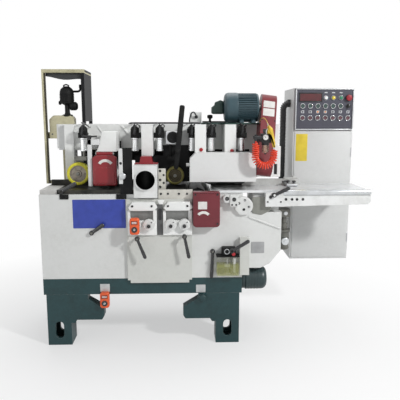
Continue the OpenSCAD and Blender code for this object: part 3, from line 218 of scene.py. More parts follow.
def socket_screw(place, axis, r=5.0, h=5.0):
    """Cap screw: a turned head whose last rows, down to its pit, run round a hexagon of radius
    r cos(30) / cos(a mod 60 - 30). A row is a share of r, a share of h, and 1 where it is on the hexagon."""
    rows = np.array([[0, 0, 0], [0.94, 0, 0], [1, 0.15, 0], [1, 0.85, 0], [0.9, 1, 0],
                     [0.6, 1, 1], [0.56, 0.35, 1], [0, 0.3, 1]])
    side1, side2 = sides_of(axis)
    a = np.arange(18) * np.pi / 9
    hexagon = math.cos(math.pi / 6) / np.cos(a % (math.pi / 3) - math.pi / 6)
    out = r * rows[:, :1] * (1 + rows[:, 2:] * (hexagon - 1))
    way = np.cos(a)[:, None] * side1 + np.sin(a)[:, None] * side2
    points = np.asarray(place, float) + h * rows[:, None, 1:2] * unit(axis) + out[:, :, None] * way
    return points.reshape(-1, 3), grid_faces(len(rows), 18, around=True)


def hex_bolt(place, axis, r=8.0, h=6.0):
    """Hex head on a round washer."""
    washer = disc_profile(r * 1.25, 0, h * 0.25, h * 0.1)
    head = np.array([[0, h * 0.2], [r, h * 0.2], [r, h * 0.9], [r * 0.88, h], [0, h]])
    return together(turned(washer, place, axis, 20), turned(head, place, axis, 6))


MERGE = 1e-6  # points closer than this, in metres, are one


def piece(name, shapes, body, finish, smooth=32.0, replaces=()):
    """A finished piece of one shape or a list of them: points to metres, doubles merged, faces turned outwards,
    edges over smooth degrees sharp, riding on its body."""
    points, faces = together(*shapes) if isinstance(shapes, list) else shapes
    mesh = bpy.data.meshes.new(name)
    mesh.from_pydata((np.asarray(points) / MM).tolist(), [], [tuple(int(v) for v in f) for f in faces])
    work = bmesh.new()
    work.from_mesh(mesh)
    bmesh.ops.remove_doubles(work, verts=work.verts, dist=MERGE)
    bmesh.ops.recalc_face_normals(work, faces=work.faces)
    work.to_mesh(mesh)
    work.free()
    mesh.polygons.foreach_set("use_smooth", np.ones(len(mesh.polygons), bool))
    mesh.set_sharp_from_angle(angle=math.radians(smooth))
    mesh.materials.append(finish)
    made = bpy.data.objects.new(name, mesh)
    scene.collection.objects.link(made)
    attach(made, body)
    if replaces:
        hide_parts(*replaces)
    return made


# Curled air hose, first because it is a free cord: a helix about a hanging U, as in the part's source
HOSE_X0, HOSE_X1, HOSE_Y = 600.0, 696.0, -290.0
HOSE_TOP, GUN_LOW, HOSE_LOW = 1122.0, 1086.0, 1040.0
HOSE_BEND, HOSE_D, CURL_R, CURLS = 48.0, 8.0, 16.0, 24


def hose_route(per_curl=20):
    """Points and outward directions of the hose. U(s) is two straights and a half circle; about it runs the curl
    t in 0..CURLS, of radius R = CURL_R u u (3 - 2 u) with u = min(1, t, CURLS - t), so that it starts and ends
    smoothly: point = U(s) + R (cos 2 pi t normal + sin 2 pi t Y)."""
    left, right, arc = HOSE_TOP - HOSE_D - HOSE_LOW, GUN_LOW - HOSE_D - HOSE_LOW, np.pi * HOSE_BEND
    t = np.linspace(0, CURLS, CURLS * per_curl + 1)
    s = (left + arc + right) * t / CURLS
    turn = np.clip((s - left) / arc, 0, 1) * np.pi
    x = HOSE_X0 + HOSE_BEND * (1 - np.cos(turn))
    climb = np.where(s > left + arc, HOSE_LOW + s - left - arc, HOSE_LOW - HOSE_BEND * np.sin(turn))
    z = np.where(s < left, HOSE_LOW + left - s, climb)
    u = np.minimum(1, np.minimum(t, CURLS - t))
    r = CURL_R * u * u * (3 - 2 * u)
    a = 2 * np.pi * t
    outward = np.stack([-np.cos(a) * np.cos(turn), np.sin(a), -np.cos(a) * np.sin(turn)], -1)
    curl = np.stack([x, np.full_like(x, HOSE_Y), z], -1) + r[:, None] * outward
    points = np.concatenate([[[HOSE_X0, HOSE_Y, HOSE_TOP]], curl, [[HOSE_X1, HOSE_Y, GUN_LOW]]])
    return points, np.concatenate([outward[:1], outward, outward[-1:]])


# Finishes

def rgb(code):
    """sRGB hex to linear: c / 12.92 below 0.04045, ((c + 0.055) / 1.055) ** 2.4 above."""
    c = np.array([int(code[i:i + 2], 16) for i in (1, 3, 5)]) / 255
    return (*np.where(c <= 0.04045, c / 12.92, ((c + 0.055) / 1.055) ** 2.4).tolist(), 1.0)


def add(tree, kind, inputs=(), **settings):
    """One shader node with its settings. inputs are values, outputs, or nodes whose first output is meant:
    a list in the order of the sockets, or a map from a socket's name or number."""
    made = tree.nodes.new("ShaderNode" + kind)
    for key, value in settings.items():
        setattr(made, key, value)
    for key, value in inputs.items() if isinstance(inputs, dict) else enumerate(inputs):
        if isinstance(value, bpy.types.Node):
            value = value.outputs[0]
        if isinstance(value, bpy.types.NodeSocket):
            tree.links.new(value, made.inputs[key])
        else:
            made.inputs[key].default_value = value
    return made


def started(name):
    """Empty node material, its tree, and its Object coordinates in metres."""
    material = bpy.data.materials.new(name)
    material.use_nodes = True
    material.node_tree.nodes.clear()
    return material, material.node_tree, add(material.node_tree, "TexCoord").outputs["Object"]


def finished(material, inputs):
    """The material with a Principled shader that has these inputs."""
    shader = add(material.node_tree, "BsdfPrincipled", inputs)
    add(material.node_tree, "OutputMaterial", {"Surface": shader})
    return material


def per_mm(size):
    """Texture scale whose features are about size millimetres wide, on coordinates in metres."""
    return MM / size


def relief(tree, height, edge, depth):
    """A rim that looks rounded, edge mm wide, and on it a height that stands depth mm proud: (rim, normal)."""
    rounded = add(tree, "Bevel", {"Radius": edge / MM}, samples=4)
    bump = {"Height": height, "Normal": rounded, "Strength": 1.0, "Distance": depth / MM}
    return rounded, add(tree, "Bump", bump)


def painted(name, colour, grime, roughness=0.38, peel=3.0, depth=0.06, edge=2.0, wear=None, dirt=0.35, cast=0.0):
    """Sprayed enamel: a thin even film with orange peel, faint dust clouds, darker grime and, at edges that
    hands rub, the primer showing. peel and cast are bump sizes in mm; edge is the look of a rounded rim in mm."""
    material, tree, place = started(name)
    clouds = add(tree, "TexNoise", {"Vector": place, "Scale": per_mm(240), "Detail": 5.0, "Roughness": 0.6})
    spots = add(tree, "TexNoise", {"Vector": place, "Scale": per_mm(26), "Detail": 6.0, "Roughness": 0.7})
    soil = add(tree, "Math", [clouds, spots], operation="MULTIPLY")
    amount = add(tree, "MapRange", [soil, 0.2, 0.5, 0.0, dirt])
    tint = add(tree, "Mix", {0: amount, 6: rgb(colour), 7: rgb(grime)}, data_type="RGBA").outputs[2]
    height = add(tree, "TexNoise", {"Vector": place, "Scale": per_mm(peel), "Detail": 2.0})
    if cast:
        skin = add(tree, "TexNoise", {"Vector": place, "Scale": per_mm(cast), "Detail": 4.0})
        height = add(tree, "Math", [skin, 4.0, height], operation="MULTIPLY_ADD")
    rounded, normal = relief(tree, height, edge, depth)
    if wear:
        face = add(tree, "NewGeometry").outputs["Normal"]
        facing = add(tree, "VectorMath", [rounded, face], operation="DOT_PRODUCT").outputs["Value"]
        rim = add(tree, "MapRange", [facing, 0.97, 0.8, 0.0, 1.0])
        broken = add(tree, "Math", [rim, spots], operation="MULTIPLY")
        bare = add(tree, "MapRange", [broken, 0.38, 0.55, 0.0, 0.8])
        tint = add(tree, "Mix", {0: bare, 6: tint, 7: rgb(wear)}, data_type="RGBA").outputs[2]
    gloss = add(tree, "MapRange", [spots, 0.0, 1.0, roughness - 0.08, roughness + 0.14])
    return finished(material, {"Base Color": tint, "Roughness": gloss, "Normal": normal, "IOR": 1.5})


def bare_metal(name, colour, stain, roughness=0.3, streak=(0.6, 90.0, 90.0), metallic=1.0):
    """Machined or plated metal: fine streaks, long along one axis, over a faint stain; streak gives the
    streaks' size in mm along X, Y and Z. Streaks under 0.5 mm wouldn't show at this size, so they are coarser."""
    material, tree, place = started(name)
    stretch = add(tree, "Mapping", {"Vector": place, "Scale": [per_mm(s) for s in streak]})
    lines = add(tree, "TexNoise", {"Vector": stretch, "Scale": 1.0, "Detail": 4.0, "Roughness": 0.6})
    cloud = add(tree, "TexNoise", {"Vector": place, "Scale": per_mm(60), "Detail": 5.0})
    amount = add(tree, "MapRange", [cloud, 0.42, 0.72, 0.0, 0.5])
    tint = add(tree, "Mix", {0: amount, 6: rgb(colour), 7: rgb(stain)}, data_type="RGBA").outputs[2]
    gloss = add(tree, "MapRange", [lines, 0.3, 0.7, roughness - 0.06, roughness + 0.12])
    normal = relief(tree, lines, 1.0, 0.02)[1]
    return finished(material, {"Base Color": tint, "Roughness": gloss, "Normal": normal, "Metallic": metallic})


SINK = 4.0  # how far light sinks into soft plastic


def moulded(name, colour, dark, roughness=0.35, grain=1.0, depth=0.0, ior=1.5, edge=1.0, sss=0.0, coat=0.0):
    """Moulded plastic or rubber: an even colour with faint flow clouds, a fine moulded grain and dust in its
    tone. grain, depth and edge are in mm; sss is how much light sinks in, coat a clear gloss on top."""
    material, tree, place = started(name)
    flow = add(tree, "TexNoise", {"Vector": place, "Scale": per_mm(35), "Detail": 4.0})
    fine = add(tree, "TexNoise", {"Vector": place, "Scale": per_mm(grain), "Detail": 3.0})
    amount = add(tree, "MapRange", [flow, 0.35, 0.75, 0.0, 0.6])
    tint = add(tree, "Mix", {0: amount, 6: rgb(colour), 7: rgb(dark)}, data_type="RGBA").outputs[2]
    gloss = add(tree, "MapRange", [flow, 0.0, 1.0, max(roughness - 0.1, 0.05), roughness + 0.1])
    inputs = {"Base Color": tint, "Roughness": gloss, "Normal": relief(tree, fine, edge, depth)[1],
              "IOR": ior, "Coat Weight": coat}
    if sss:
        inputs.update({"Subsurface Weight": sss, "Subsurface Scale": SINK / MM})
    return finished(material, inputs)


def clear(name, colour, roughness=0.06, opacity=0.3):
    """Thin clear moulding: the wall lets most light straight through, with a faint tint, and shines where it is
    smooth; small scratches vary its gloss."""
    material, tree, place = started(name)
    haze = add(tree, "TexNoise", {"Vector": place, "Scale": per_mm(14), "Detail": 5.0})
    gloss = add(tree, "MapRange", [haze, 0.4, 0.7, roughness, roughness + 0.12])
    return finished(material, {"Base Color": rgb(colour), "Roughness": gloss, "Alpha": opacity, "IOR": 1.49})


def zoned(name, finish, zones, dirt=0.45, shine=0.5):
    """One casting with several finishes: inside a zone's box, min(half size - |point - middle|) > 0, the zone's
    finish takes over. A finish is (colour, grime, roughness, metallic); a zone is (lowest corner, highest corner,
    finish) in mm."""
    material, tree, place = started(name)
    clouds = add(tree, "TexNoise", {"Vector": place, "Scale": per_mm(70), "Detail": 6.0, "Roughness": 0.65})
    fine = add(tree, "TexNoise", {"Vector": place, "Scale": per_mm(2.5), "Detail": 3.0})
    amount = add(tree, "MapRange", [clouds, 0.4, 0.75, 0.0, dirt])
    colour, grime, roughness, metallic = finish
    tint = add(tree, "Mix", {0: amount, 6: rgb(colour), 7: rgb(grime)}, data_type="RGBA").outputs[2]
    gloss = add(tree, "MapRange", [clouds, 0.0, 1.0, roughness - 0.08, roughness + 0.1])
    metal = metallic
    for low, high, (colour, grime, roughness, metallic) in zones:
        middle = [(a + b) / 2 / MM for a, b in zip(low, high)]
        half = [(b - a) / 2 / MM for a, b in zip(low, high)]
        apart = add(tree, "VectorMath", [place, middle], operation="SUBTRACT")
        away = add(tree, "VectorMath", [apart], operation="ABSOLUTE")
        left = add(tree, "VectorMath", [half, away], operation="SUBTRACT")
        part = add(tree, "SeparateXYZ", [left])
        flat = add(tree, "Math", [part.outputs[0], part.outputs[1]], operation="MINIMUM")
        least = add(tree, "Math", [flat, part.outputs[2]], operation="MINIMUM")
        inside = add(tree, "Math", [least, 0.0], operation="GREATER_THAN")
        other = add(tree, "Mix", {0: amount, 6: rgb(colour), 7: rgb(grime)}, data_type="RGBA").outputs[2]
        tint = add(tree, "Mix", {0: inside, 6: tint, 7: other}, data_type="RGBA").outputs[2]
        gloss = add(tree, "Mix", {0: inside, 2: gloss, 3: roughness})
        metal = add(tree, "Mix", {0: inside, 2: metal, 3: metallic})
    normal = relief(tree, fine, 1.5, 0.05)[1]
    return finished(material, {"Base Color": tint, "Roughness": gloss, "Metallic": metal, "Normal": normal,
                               "Specular IOR Level": shine})


# White enamel on cast iron and sheet steel: an even coat with orange peel and a little workshop dust
WHITE_CAST = painted("enamel_white_cast", "#DADBD9", "#A4A49C", 0.38, 4.0, 0.08, 4.0, dirt=0.22, cast=30.0)
# The cabinet's enamel is a darker copy of the white sheet enamel: painted shade
SHADED_CABINET_WHITE = painted("enamel_cabinet_sheet_painted_shade", "#D2D3D2", "#A2A29D", 0.36, 2.5, 0.04, 1.5, dirt=0.2)
WHITE_SHEET = painted("enamel_white_sheet", "#DFE0DF", "#ACACA6", 0.34, 2.5, 0.04, 1.5, dirt=0.2)
# The front panel's enamel is a greyer copy of the white enamel: painted shade
SHADED_PANEL_WHITE = painted("enamel_white_panel_painted_shade", "#CECFCA", "#9E9E96", 0.38, 3.0, 0.05, 2.0, dirt=0.25)
# The beam, hood and adjusters get a lighter copy of the bed's white enamel, painted light, so that they look
# brighter
LIT_WHITE = painted("enamel_white_cast_painted_light", "#F0F1EF", "#B4B4AD", 0.36, 4.0, 0.08, 4.0, dirt=0.16, cast=30.0)
# Dark green enamel of the plinth: thick, glossy, over a rough sand cast skin, worn bare at the feet
TEAL_CAST = painted("enamel_teal_cast", "#163A3D", "#0B2021", 0.44, 5.0, 0.1, 5.0, "#6E7A78", 0.7, 14.0)
# Signal red enamel of the guards: glossy, chipped pale at the rims; the low guard's darker copy is painted shade,
# and the belt guard's red is darker too
RED_GUARD = painted("enamel_red_guard", "#8E1E26", "#561319", 0.3, 3.0, 0.05, 3.0, "#B9A9A4", 0.5)
SHADED_RED = painted("enamel_red_guard_painted_shade", "#6E212B", "#3C1117", 0.3, 3.0, 0.05, 3.0, "#B9A9A4", 0.5)
RED_BELT_GUARD = painted("enamel_dark_red_guard", "#7A2A30", "#43151A", 0.34, 3.0, 0.05, 4.0, dirt=0.5)
# Cream enamel of the old frame behind the outfeed end, dusty
CREAM_FRAME = painted("enamel_cream_frame", "#CFC9A8", "#8D866A", 0.45, 4.0, 0.06, 2.0, "#77705C", 0.7)
# Blue grey, green and dark teal motor enamels over die cast aluminium: half gloss, with oil and dust
MOTOR_PAINT = painted("enamel_blue_grey_motor", "#344C54", "#1C2E35", 0.38, 2.0, 0.05, 1.5, dirt=0.6)
DARK_GREEN = painted("enamel_dark_green", "#24403A", "#152722", 0.36, 2.5, 0.05, 1.5, dirt=0.6)
DARK_TEAL = painted("enamel_dark_teal_motor", "#26383A", "#141F20", 0.36, 2.5, 0.05, 1.5, dirt=0.6)
# Grey enamelled sheets: dull, and darker where they hang in the shade
DARK_SHEET = painted("enamel_dark_grey_sheet", "#5C5D5D", "#3C3C3A", 0.45, 2.5, 0.04, 1.5, dirt=0.5)
GREY_SHEET = painted("enamel_grey_sheet", "#8A8B84", "#5C5D57", 0.42, 2.5, 0.04, 1.5, dirt=0.5)
SMOKED = painted("enamel_charcoal_sheet", "#26272A", "#3E3E3D", 0.5, 2.5, 0.04, 1.5, dirt=0.5)
# Blackened cast iron: dull, with oil and dust in its pores; the same black also stands as painted shade, on the
# sheets behind the beam and, in part, on the steel cutterheads
BLACK_IRON_AND_SHADE = moulded("blackened_cast_iron_and_painted_shade", "#141516", "#2A2A28", 0.56, 1.5, 0.06, 1.25, 1.5)
# Black phenolic of levers and knobs: glossy and slightly dusty; nylon and conduit are duller
BLACK_PHENOLIC = moulded("black_phenolic", "#191A1C", "#2C2D2F", 0.26, 1.2, 0.01, 1.54, coat=0.2)
BLACK_PLASTIC = moulded("black_nylon", "#1D1E20", "#333436", 0.4, 1.0, 0.02, 1.46)
GREY_CONDUIT = moulded("polyamide_conduit_grey", "#3B3C3E", "#5A5A58", 0.45, 1.2, 0.02, 1.5, 0.8)
# Ground steel: bright, brushed along the feed; cast and turned steel duller under its oil
GROUND_STEEL = bare_metal("ground_steel", "#B9BABA", "#7E7A72", 0.32, (160.0, 3.0, 3.0))
CAST_STEEL = bare_metal("oiled_cast_steel", "#74746F", "#3F3C36", 0.42, (25.0, 25.0, 25.0), 0.85)
HUB_STEEL = bare_metal("oiled_turned_steel", "#8A8378", "#4C443A", 0.36, (30.0, 30.0, 30.0), 0.8)
# The middle wheel's hub is a darker copy of the turned steel: painted shade
SHADED_HUB = bare_metal("oiled_turned_steel_painted_shade", "#4C4636", "#26231C", 0.4, (30.0, 30.0, 30.0), 0.8)
MILLED_GREY = bare_metal("milled_grey_iron", "#858684", "#3A3937", 0.5, (22.0, 5.0, 5.0), 0.5)
# Hard chrome mirrors the room; anodised aluminium is softer; the drawn cylinder tubes have one bright streak each
CHROME = bare_metal("hard_chrome_plate", "#D3D6D8", "#A7A8A6", 0.16, (220.0, 2.0, 2.0))
ALUMINIUM = bare_metal("anodised_aluminium", "#C4C6C8", "#9C9D9E", 0.3, (3.0, 3.0, 120.0), 0.9)
BRIGHT_TUBE = bare_metal("polished_aluminium", "#F0F2F3", "#C2C3C4", 0.2, (3.0, 3.0, 120.0), 0.9)
# Etched aluminium of the blank plate: a dull even grey
PLATE_GREY = moulded("etched_aluminium", "#A6A7A8", "#8C8D8E", 0.45, edge=0.8)
# Moulded feed tyres: satin, light sinks in a little; the belt and the infeed tyres are dull rubber
YELLOW_TYRE = moulded("polyurethane_yellow", "#E2DC3C", "#B4A82E", 0.42, 2.0, 0.06, 1.5, 2.0, 0.1)
OLIVE_TYRE = moulded("polyurethane_olive", "#857E3C", "#5A552C", 0.45, 2.0, 0.06, 1.5, 2.0, 0.05)
DARK_RUBBER = moulded("feed_belt_rubber", "#1E1F20", "#3A3A38", 0.6, 2.0, 0.05, 1.5, 0.5)
# Coloured plastics: clean, half glossy mouldings, and the glossy red hose
ORANGE_PLASTIC = moulded("abs_orange", "#EE6434", "#B8481F", 0.3, 1.0, 0.01, 1.46, 1.5, 0.05)
HOSE_PLASTIC = moulded("polyurethane_hose_red", "#EE4E32", "#C23822", 0.28, 1.5, 0.01, 1.5, 0.5, 0.1)
GUN_PLASTIC = moulded("glass_filled_nylon_yellow", "#E6C33C", "#B08E20", 0.36, 1.0, 0.03, 1.5, 1.5)
WIRE_COAT = moulded("pvc_coated_wire_yellow", "#D8B54A", "#A88428", 0.4, edge=0.2)
PALE_PLASTIC = moulded("abs_pale_grey", "#CACCCC", "#A5A6A6", 0.3, 1.0, 0.01, 1.46)
RED_PLASTIC = moulded("abs_red", "#B4262E", "#82161C", 0.25, 1.0, 0.01, 1.46, 1.5)
STOP_RED = moulded("nylon_dull_red", "#9A2430", "#6C161F", 0.4, 1.0, 0.01, 1.46, 1.5)
GREEN_CAP = moulded("polycarbonate_dark_green", "#2E4A45", "#20332E", 0.22, ior=1.58, edge=0.5, coat=0.3)
RED_CAP = moulded("polycarbonate_dark_red", "#5C3640", "#3C2028", 0.22, ior=1.58, edge=0.5, coat=0.3)
DISPLAY = moulded("acrylic_dark_red", "#5A1F24", "#3C1418", 0.18, ior=1.49, edge=0.5, coat=0.4)
# Printed films and plates: flat, satin colours
PANEL_FILM = moulded("polyester_film_slate", "#43434F", "#34343E", 0.35, 0.8, 0.01, 1.55, 0.8)
LABEL_FILM = moulded("polyester_film_pale", "#C8CACC", "#A6A8AC", 0.35, 0.8, 0.0, 1.55, 0.3)
ORANGE_FILM = moulded("polyester_film_orange", "#D98A4E", "#B06A34", 0.35, 0.8, 0.0, 1.55, 0.3)
YELLOW_FILM = moulded("vinyl_film_yellow", "#DFC73C", "#C2A827", 0.42, edge=0.3)
WHITE_FILM = moulded("vinyl_film_white", "#E6E4E0", "#C9C6C0", 0.4, edge=0.2)
BLUE_PLATE = moulded("screen_printed_film_blue", "#3346A8", "#293A8A", 0.35, 2.0, edge=0.4)
# Acrylic of the filter bowl and the tank, seen through, and the oil in the tank: a yellow green body
CLEAR_BOWL = clear("acrylic_clear", "#D6D0B2", 0.08)
CLEAR_TANK = clear("acrylic_tank", "#D2D2C4", 0.1, 0.1)
OIL = clear("machine_oil", "#A4A800", 0.1, 0.44)

# Castings and sheets with several finishes, each given as (colour, grime, roughness, metallic)
white = ("#E4E5E4", "#A9A9A2", 0.36, 0.0)
black = ("#1D1E20", "#333436", 0.4, 0.0)
bright = ("#C4C6C8", "#8E8F8E", 0.3, 0.95)
chrome = ("#E8EAEB", "#C0C1C0", 0.26, 0.5)
strip = ("#D3D1C9", "#8E8A80", 0.34, 0.25)
oiled_and_shaded = ("#2B2B2A", "#6A675E", 0.32, 0.6)
hollow_shade = ("#0E0E0F", "#1A1A1A", 0.6, 0.0)
deep = ("#0C0C0C", "#171614", 0.85, 0.0)
pale_free_end = ("#CBCAC8", "#8E8A80", 0.45, 0.0)
ground = ("#C2C3C1", "#8B8981", 0.4, 0.3)
wheel_shade = ("#1E1E1D", "#31302D", 0.6, 0.1)
sooty = ("#141516", "#2A2A28", 0.56, 0.0)
pale = ("#C9CAC8", "#8F8F8A", 0.4, 0.0)
cream = ("#CFC9A8", "#8D866A", 0.45, 0.0)
shaded_charcoal = ("#1A1B1E", "#2E2E2E", 0.5, 0.0)
shaded = ("#4A4639", "#2E2B24", 0.5, 0.0)
# Infeed table: white casting, its top ground bright
INFEED_FINISH = zoned("enamel_white_and_chrome", white, [((350, -300, 842.2), (1260, 60, 880), chrome)])
# Air cylinders: black heads on bright tubes
CYLINDER_FINISH = zoned("black_nylon_and_aluminium", black, [((-400, -140, 1050), (600, -70, 1131), bright)])
# Dust box: white, black inside as painted shade, where the port looks into the box
DUST_FINISH = zoned("enamel_white_painted_shade_inside", white, [((-35.6, -302.1, 829), (82.6, -165, 993), hollow_shade)])
# Table: dark oily iron, darkened further as painted shade, with a pale ground strip and bracket, painted deep shade
# under the beam, and pale at its free end
TABLE_FINISH = zoned("oiled_shaded_iron_pale_strip", oiled_and_shaded, [
    ((86, -283, 815), (271, -269.5, 867), strip), ((86, -251, 862.5), (128, -237, 975), strip),
    ((129, -236, 855), (278, -20, 862.6), deep), ((-640, -300, 835), (-450, -60, 862.6), pale_free_end)], shine=0.15)
# Fence: ground bright at its free end, darker where the wheels run past: painted shade under the wheels
FENCE_FINISH = zoned("ground_steel_painted_shade_by_wheels", ground, [((200, -60, 850), (560, 60, 1100), wheel_shade)], shine=0.3)
# Shroud: blackened sheet with a white head
SHROUD_FINISH = zoned("blackened_sheet_white_head", sooty, [((100, -75, 1090), (262, -60, 1180), pale)], shine=0.2)
# Rear frame: cream tube, grey sheets on its roof and right side darkened as painted shade, and painted shade on the
# left post's inner side
FRAME_FINISH = zoned("enamel_cream_and_grey", cream, [
    ((-640, 221, 1515), (-360, 450, 1600), shaded_charcoal), ((-402, 190, 830), (-360, 450, 1507), shaded_charcoal),
    ((-611, 190, 830), (-595, 450, 1507), shaded)], dirt=0.6, shine=0.12)

# The finish of each CAD node
for finish, nodes in (
        (TEAL_CAST, "base_frame legs"), (WHITE_CAST, "bed_casting spindle_adjusters"), (SHADED_PANEL_WHITE, "front_panel"),
        (TABLE_FINISH, "table_plates"), (DUST_FINISH, "dust_box"), (RED_GUARD, "cutter_guards top_guard"),
        (SHADED_CABINET_WHITE, "control_cabinet"), (PANEL_FILM, "control_panel"), (ORANGE_PLASTIC, "position_counters"),
        (CLEAR_TANK, "oil_reservoir"), (FRAME_FINISH, "rear_guard_frame"), (MOTOR_PAINT, "lift_motor feed_motor"),
        (LIT_WHITE, "feed_beam dust_chute"), (WHITE_SHEET, "feed_beam_cover"), (SHROUD_FINISH, "wheel_shroud"),
        (CYLINDER_FINISH, "air_cylinders"), (RED_BELT_GUARD, "belt_guard"), (DARK_RUBBER, "feed_belt"),
        (HOSE_PLASTIC, "air_hose"), (GUN_PLASTIC, "air_gun"), (INFEED_FINISH, "infeed_table"),
        (FENCE_FINISH, "guide_fence"), (YELLOW_TYRE, "outfeed_wheel"), (OLIVE_TYRE, "middle_wheel"),
        # the steel cutterheads get this black in part as painted shade, inside the machine
        (BLACK_IRON_AND_SHADE, "spindle_motors side_shroud oil_pump gear_motor top_spindle_slide bottom_cutterhead "
                     "front_cutterhead middle_fork"),
        (GROUND_STEEL, "lift_columns rear_cutterhead top_cutterhead motor_pulley feed_drive_shaft"),
        (CAST_STEEL, "outfeed_fork infeed_fork infeed_wheel_1 infeed_wheel_2"),
        (BLACK_PLASTIC, "conduit air_service_unit selector_knob"), (PALE_PLASTIC, "start_buttons stop_buttons"),
        (RED_PLASTIC, "estop_button"),
        (BLACK_PHENOLIC, "press_lever adjuster_lever_1 adjuster_lever_2 panel_lever outfeed_lever fence_lever "
                         "drain_lever pump_handle")):
    for node in nodes.split():
        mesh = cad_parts[node].data
        mesh.materials.clear()
        mesh.materials.append(finish)

# The hose itself; the gun's pieces, made further down, are at its far end
route, outward = hose_route()
hose = piece("air_hose_curls", tube(route, HOSE_D / 2, 10, outward), "beam", HOSE_PLASTIC, 50.0, ["air_hose"])


# Control panel and cabinet

def ring(centre, axis, r0, r1, h, edge=1.0, n=36):
    """Flat ring on a face: a closed loop of (radius, height) points with cut edges, turned about the axis."""
    loop = [(r0, 0), (r0, h - edge), (r0 + edge, h), (r1 - edge, h), (r1, h - edge), (r1, 0), (r0, 0)]
    return turned(loop, centre, axis, n)


def dome(r, h0, h1, crown):
    """Half outline of a round cap: straight side from h0 to h1 - crown, then crown cos(t) high over r sin(t)."""
    t = np.linspace(np.pi / 2, 0, 7)
    return np.concatenate([[[0, h0], [r, h0]], np.stack([r * np.sin(t), h1 - crown + crown * np.cos(t)], -1)])


def frame_bars(x, y, z, w, r):
    """Four bars of a flat frame between two X and two Z, w wide."""
    (x0, x1), (y0, y1), (z0, z1) = x, y, z
    spans = ((x0, z0, x1, z0 + w), (x0, z1 - w, x1, z1), (x0, z0 + w, x0 + w, z1 - w), (x1 - w, z0 + w, x1, z1 - w))
    return together(*[rounded_box((a, y0, b), (c, y1, d), r) for a, b, c, d in spans])


def louvres(starts, w, up, depth, edge, along="y"):
    """Upright pressed louvres, w wide with round ends, one from each start."""
    return [slab(rectangle((s, s + w), up, w / 2 - 0.1), depth, edge, along) for s in starts]


PANEL_Y, BUTTON_XS, LAMP_Z, START_Z, STOP_Z = 50.0, 922 + 44.7 * np.arange(7), 1356.0, 1309.0, 1240.0
STOP_AT, TURN_AT = (BUTTON_XS[6], PANEL_Y, LAMP_Z), (BUTTON_XS[6], PANEL_Y, START_Z)
piece("panel_frame", frame_bars((878, 1223), (44, PANEL_Y), (1170, 1410), 7, 2), "bed", ALUMINIUM)
piece("panel_display_bezel", frame_bars((898, 1036), (45.5, PANEL_Y), (1332, 1386), 6, 1.5), "bed", BLACK_PLASTIC)
piece("panel_display", rounded_box((904, 47.5, 1338), (1030, PANEL_Y, 1380), 0.8), "bed", DISPLAY)
# Lamps: glossy tinted acrylic that light sinks into
lamps = (("white", "#EDEDEA", "#CFCFCB"), ("yellow", "#D8C53C", "#A8921E"), ("green", "#2A8260", "#175C3E"))
for x, (name, colour, dark) in zip(BUTTON_XS[3:6], lamps):
    lens = moulded("acrylic_lamp_" + name, colour, dark, 0.15, 1.0, 0.0, 1.49, 0.5, 0.2, 0.5)
    at = (x, PANEL_Y, LAMP_Z)
    piece("lamp_lens_" + name, turned(dome(10.6, 0.0, 11.0, 4.0), at, OUT), "bed", lens)
    piece("lamp_collar_" + name, ring(at, OUT, 10.7, 14.0, 4.5), "bed", ALUMINIUM)
starts, stops = [(x, PANEL_Y, START_Z) for x in BUTTON_XS[:6]], [(x, PANEL_Y, STOP_Z) for x in BUTTON_XS]
piece("button_bezels", [ring(at, OUT, 11.4, 15.6, 5.5, 1.4) for at in starts + stops], "bed", CHROME)
button = [(0, -6), (11, -6), (11, 3.2), (10.2, 4.2), (9.0, 4.4), (8.2, 3.4), (5, 3.0), (0, 2.8)]
for row, places, finish in (("start_button", starts, GREEN_CAP), ("stop_button", stops, RED_CAP)):
    caps = [turned(button, at, OUT) for at in places]
    piece(row + "_caps", caps, row + "s", finish, replaces=[row + "s"])
mushroom = [(0, -6), (10.8, -6), (10.8, 7), (13, 8), (17, 11), (18, 14), (17.4, 17), (15, 19), (9, 20), (0, 20)]
piece("stop_mushroom", turned(mushroom, STOP_AT, OUT), "estop_button", STOP_RED, 40.0, ["estop_button"])
piece("stop_mushroom_collar", ring(STOP_AT, OUT, 11.4, 18.5, 4.0), "bed", BLACK_PLASTIC)
turn_base = [(0, -8), (7.9, -8), (7.9, 0.3), (13, 0.3), (13, 4.5), (11.5, 6), (0, 6)]
x = BUTTON_XS[6]
blade = rounded_box((x - 4, 32, START_Z - 12.5), (x + 4, 46, START_Z + 12.5), 3)
piece("selector_grip", [turned(turn_base, TURN_AT, OUT), blade], "selector_knob", BLACK_PHENOLIC,
      replaces=["selector_knob"])
mark = rounded_box((x - 1, 31.6, START_Z + 3), (x + 1, 32.4, START_Z + 12), 0.3)
piece("selector_mark", mark, "selector_knob", PALE_PLASTIC)
# Bare label plates between the rows, each with a plain coloured field
labels = [rounded_box((x - 9, 49.2, 1268), (x + 9, PANEL_Y, 1283), 0.3) for x in BUTTON_XS]
labels += [rounded_box((x - 9, 49.2, 1383), (x + 9, PANEL_Y, 1389), 0.3) for x in BUTTON_XS[3:6]]
piece("panel_labels", labels, "bed", LABEL_FILM)
for name, columns, finish in (("", [2, 3], ORANGE_FILM), ("_dark", [0, 1, 4, 5, 6], PANEL_FILM)):
    fields = [rounded_box((x - 5, 48.7, 1271), (x + 5, 49.4, 1280), 0.2) for x in BUTTON_XS[columns]]
    piece("panel_label_fields" + name, fields, "bed", finish)

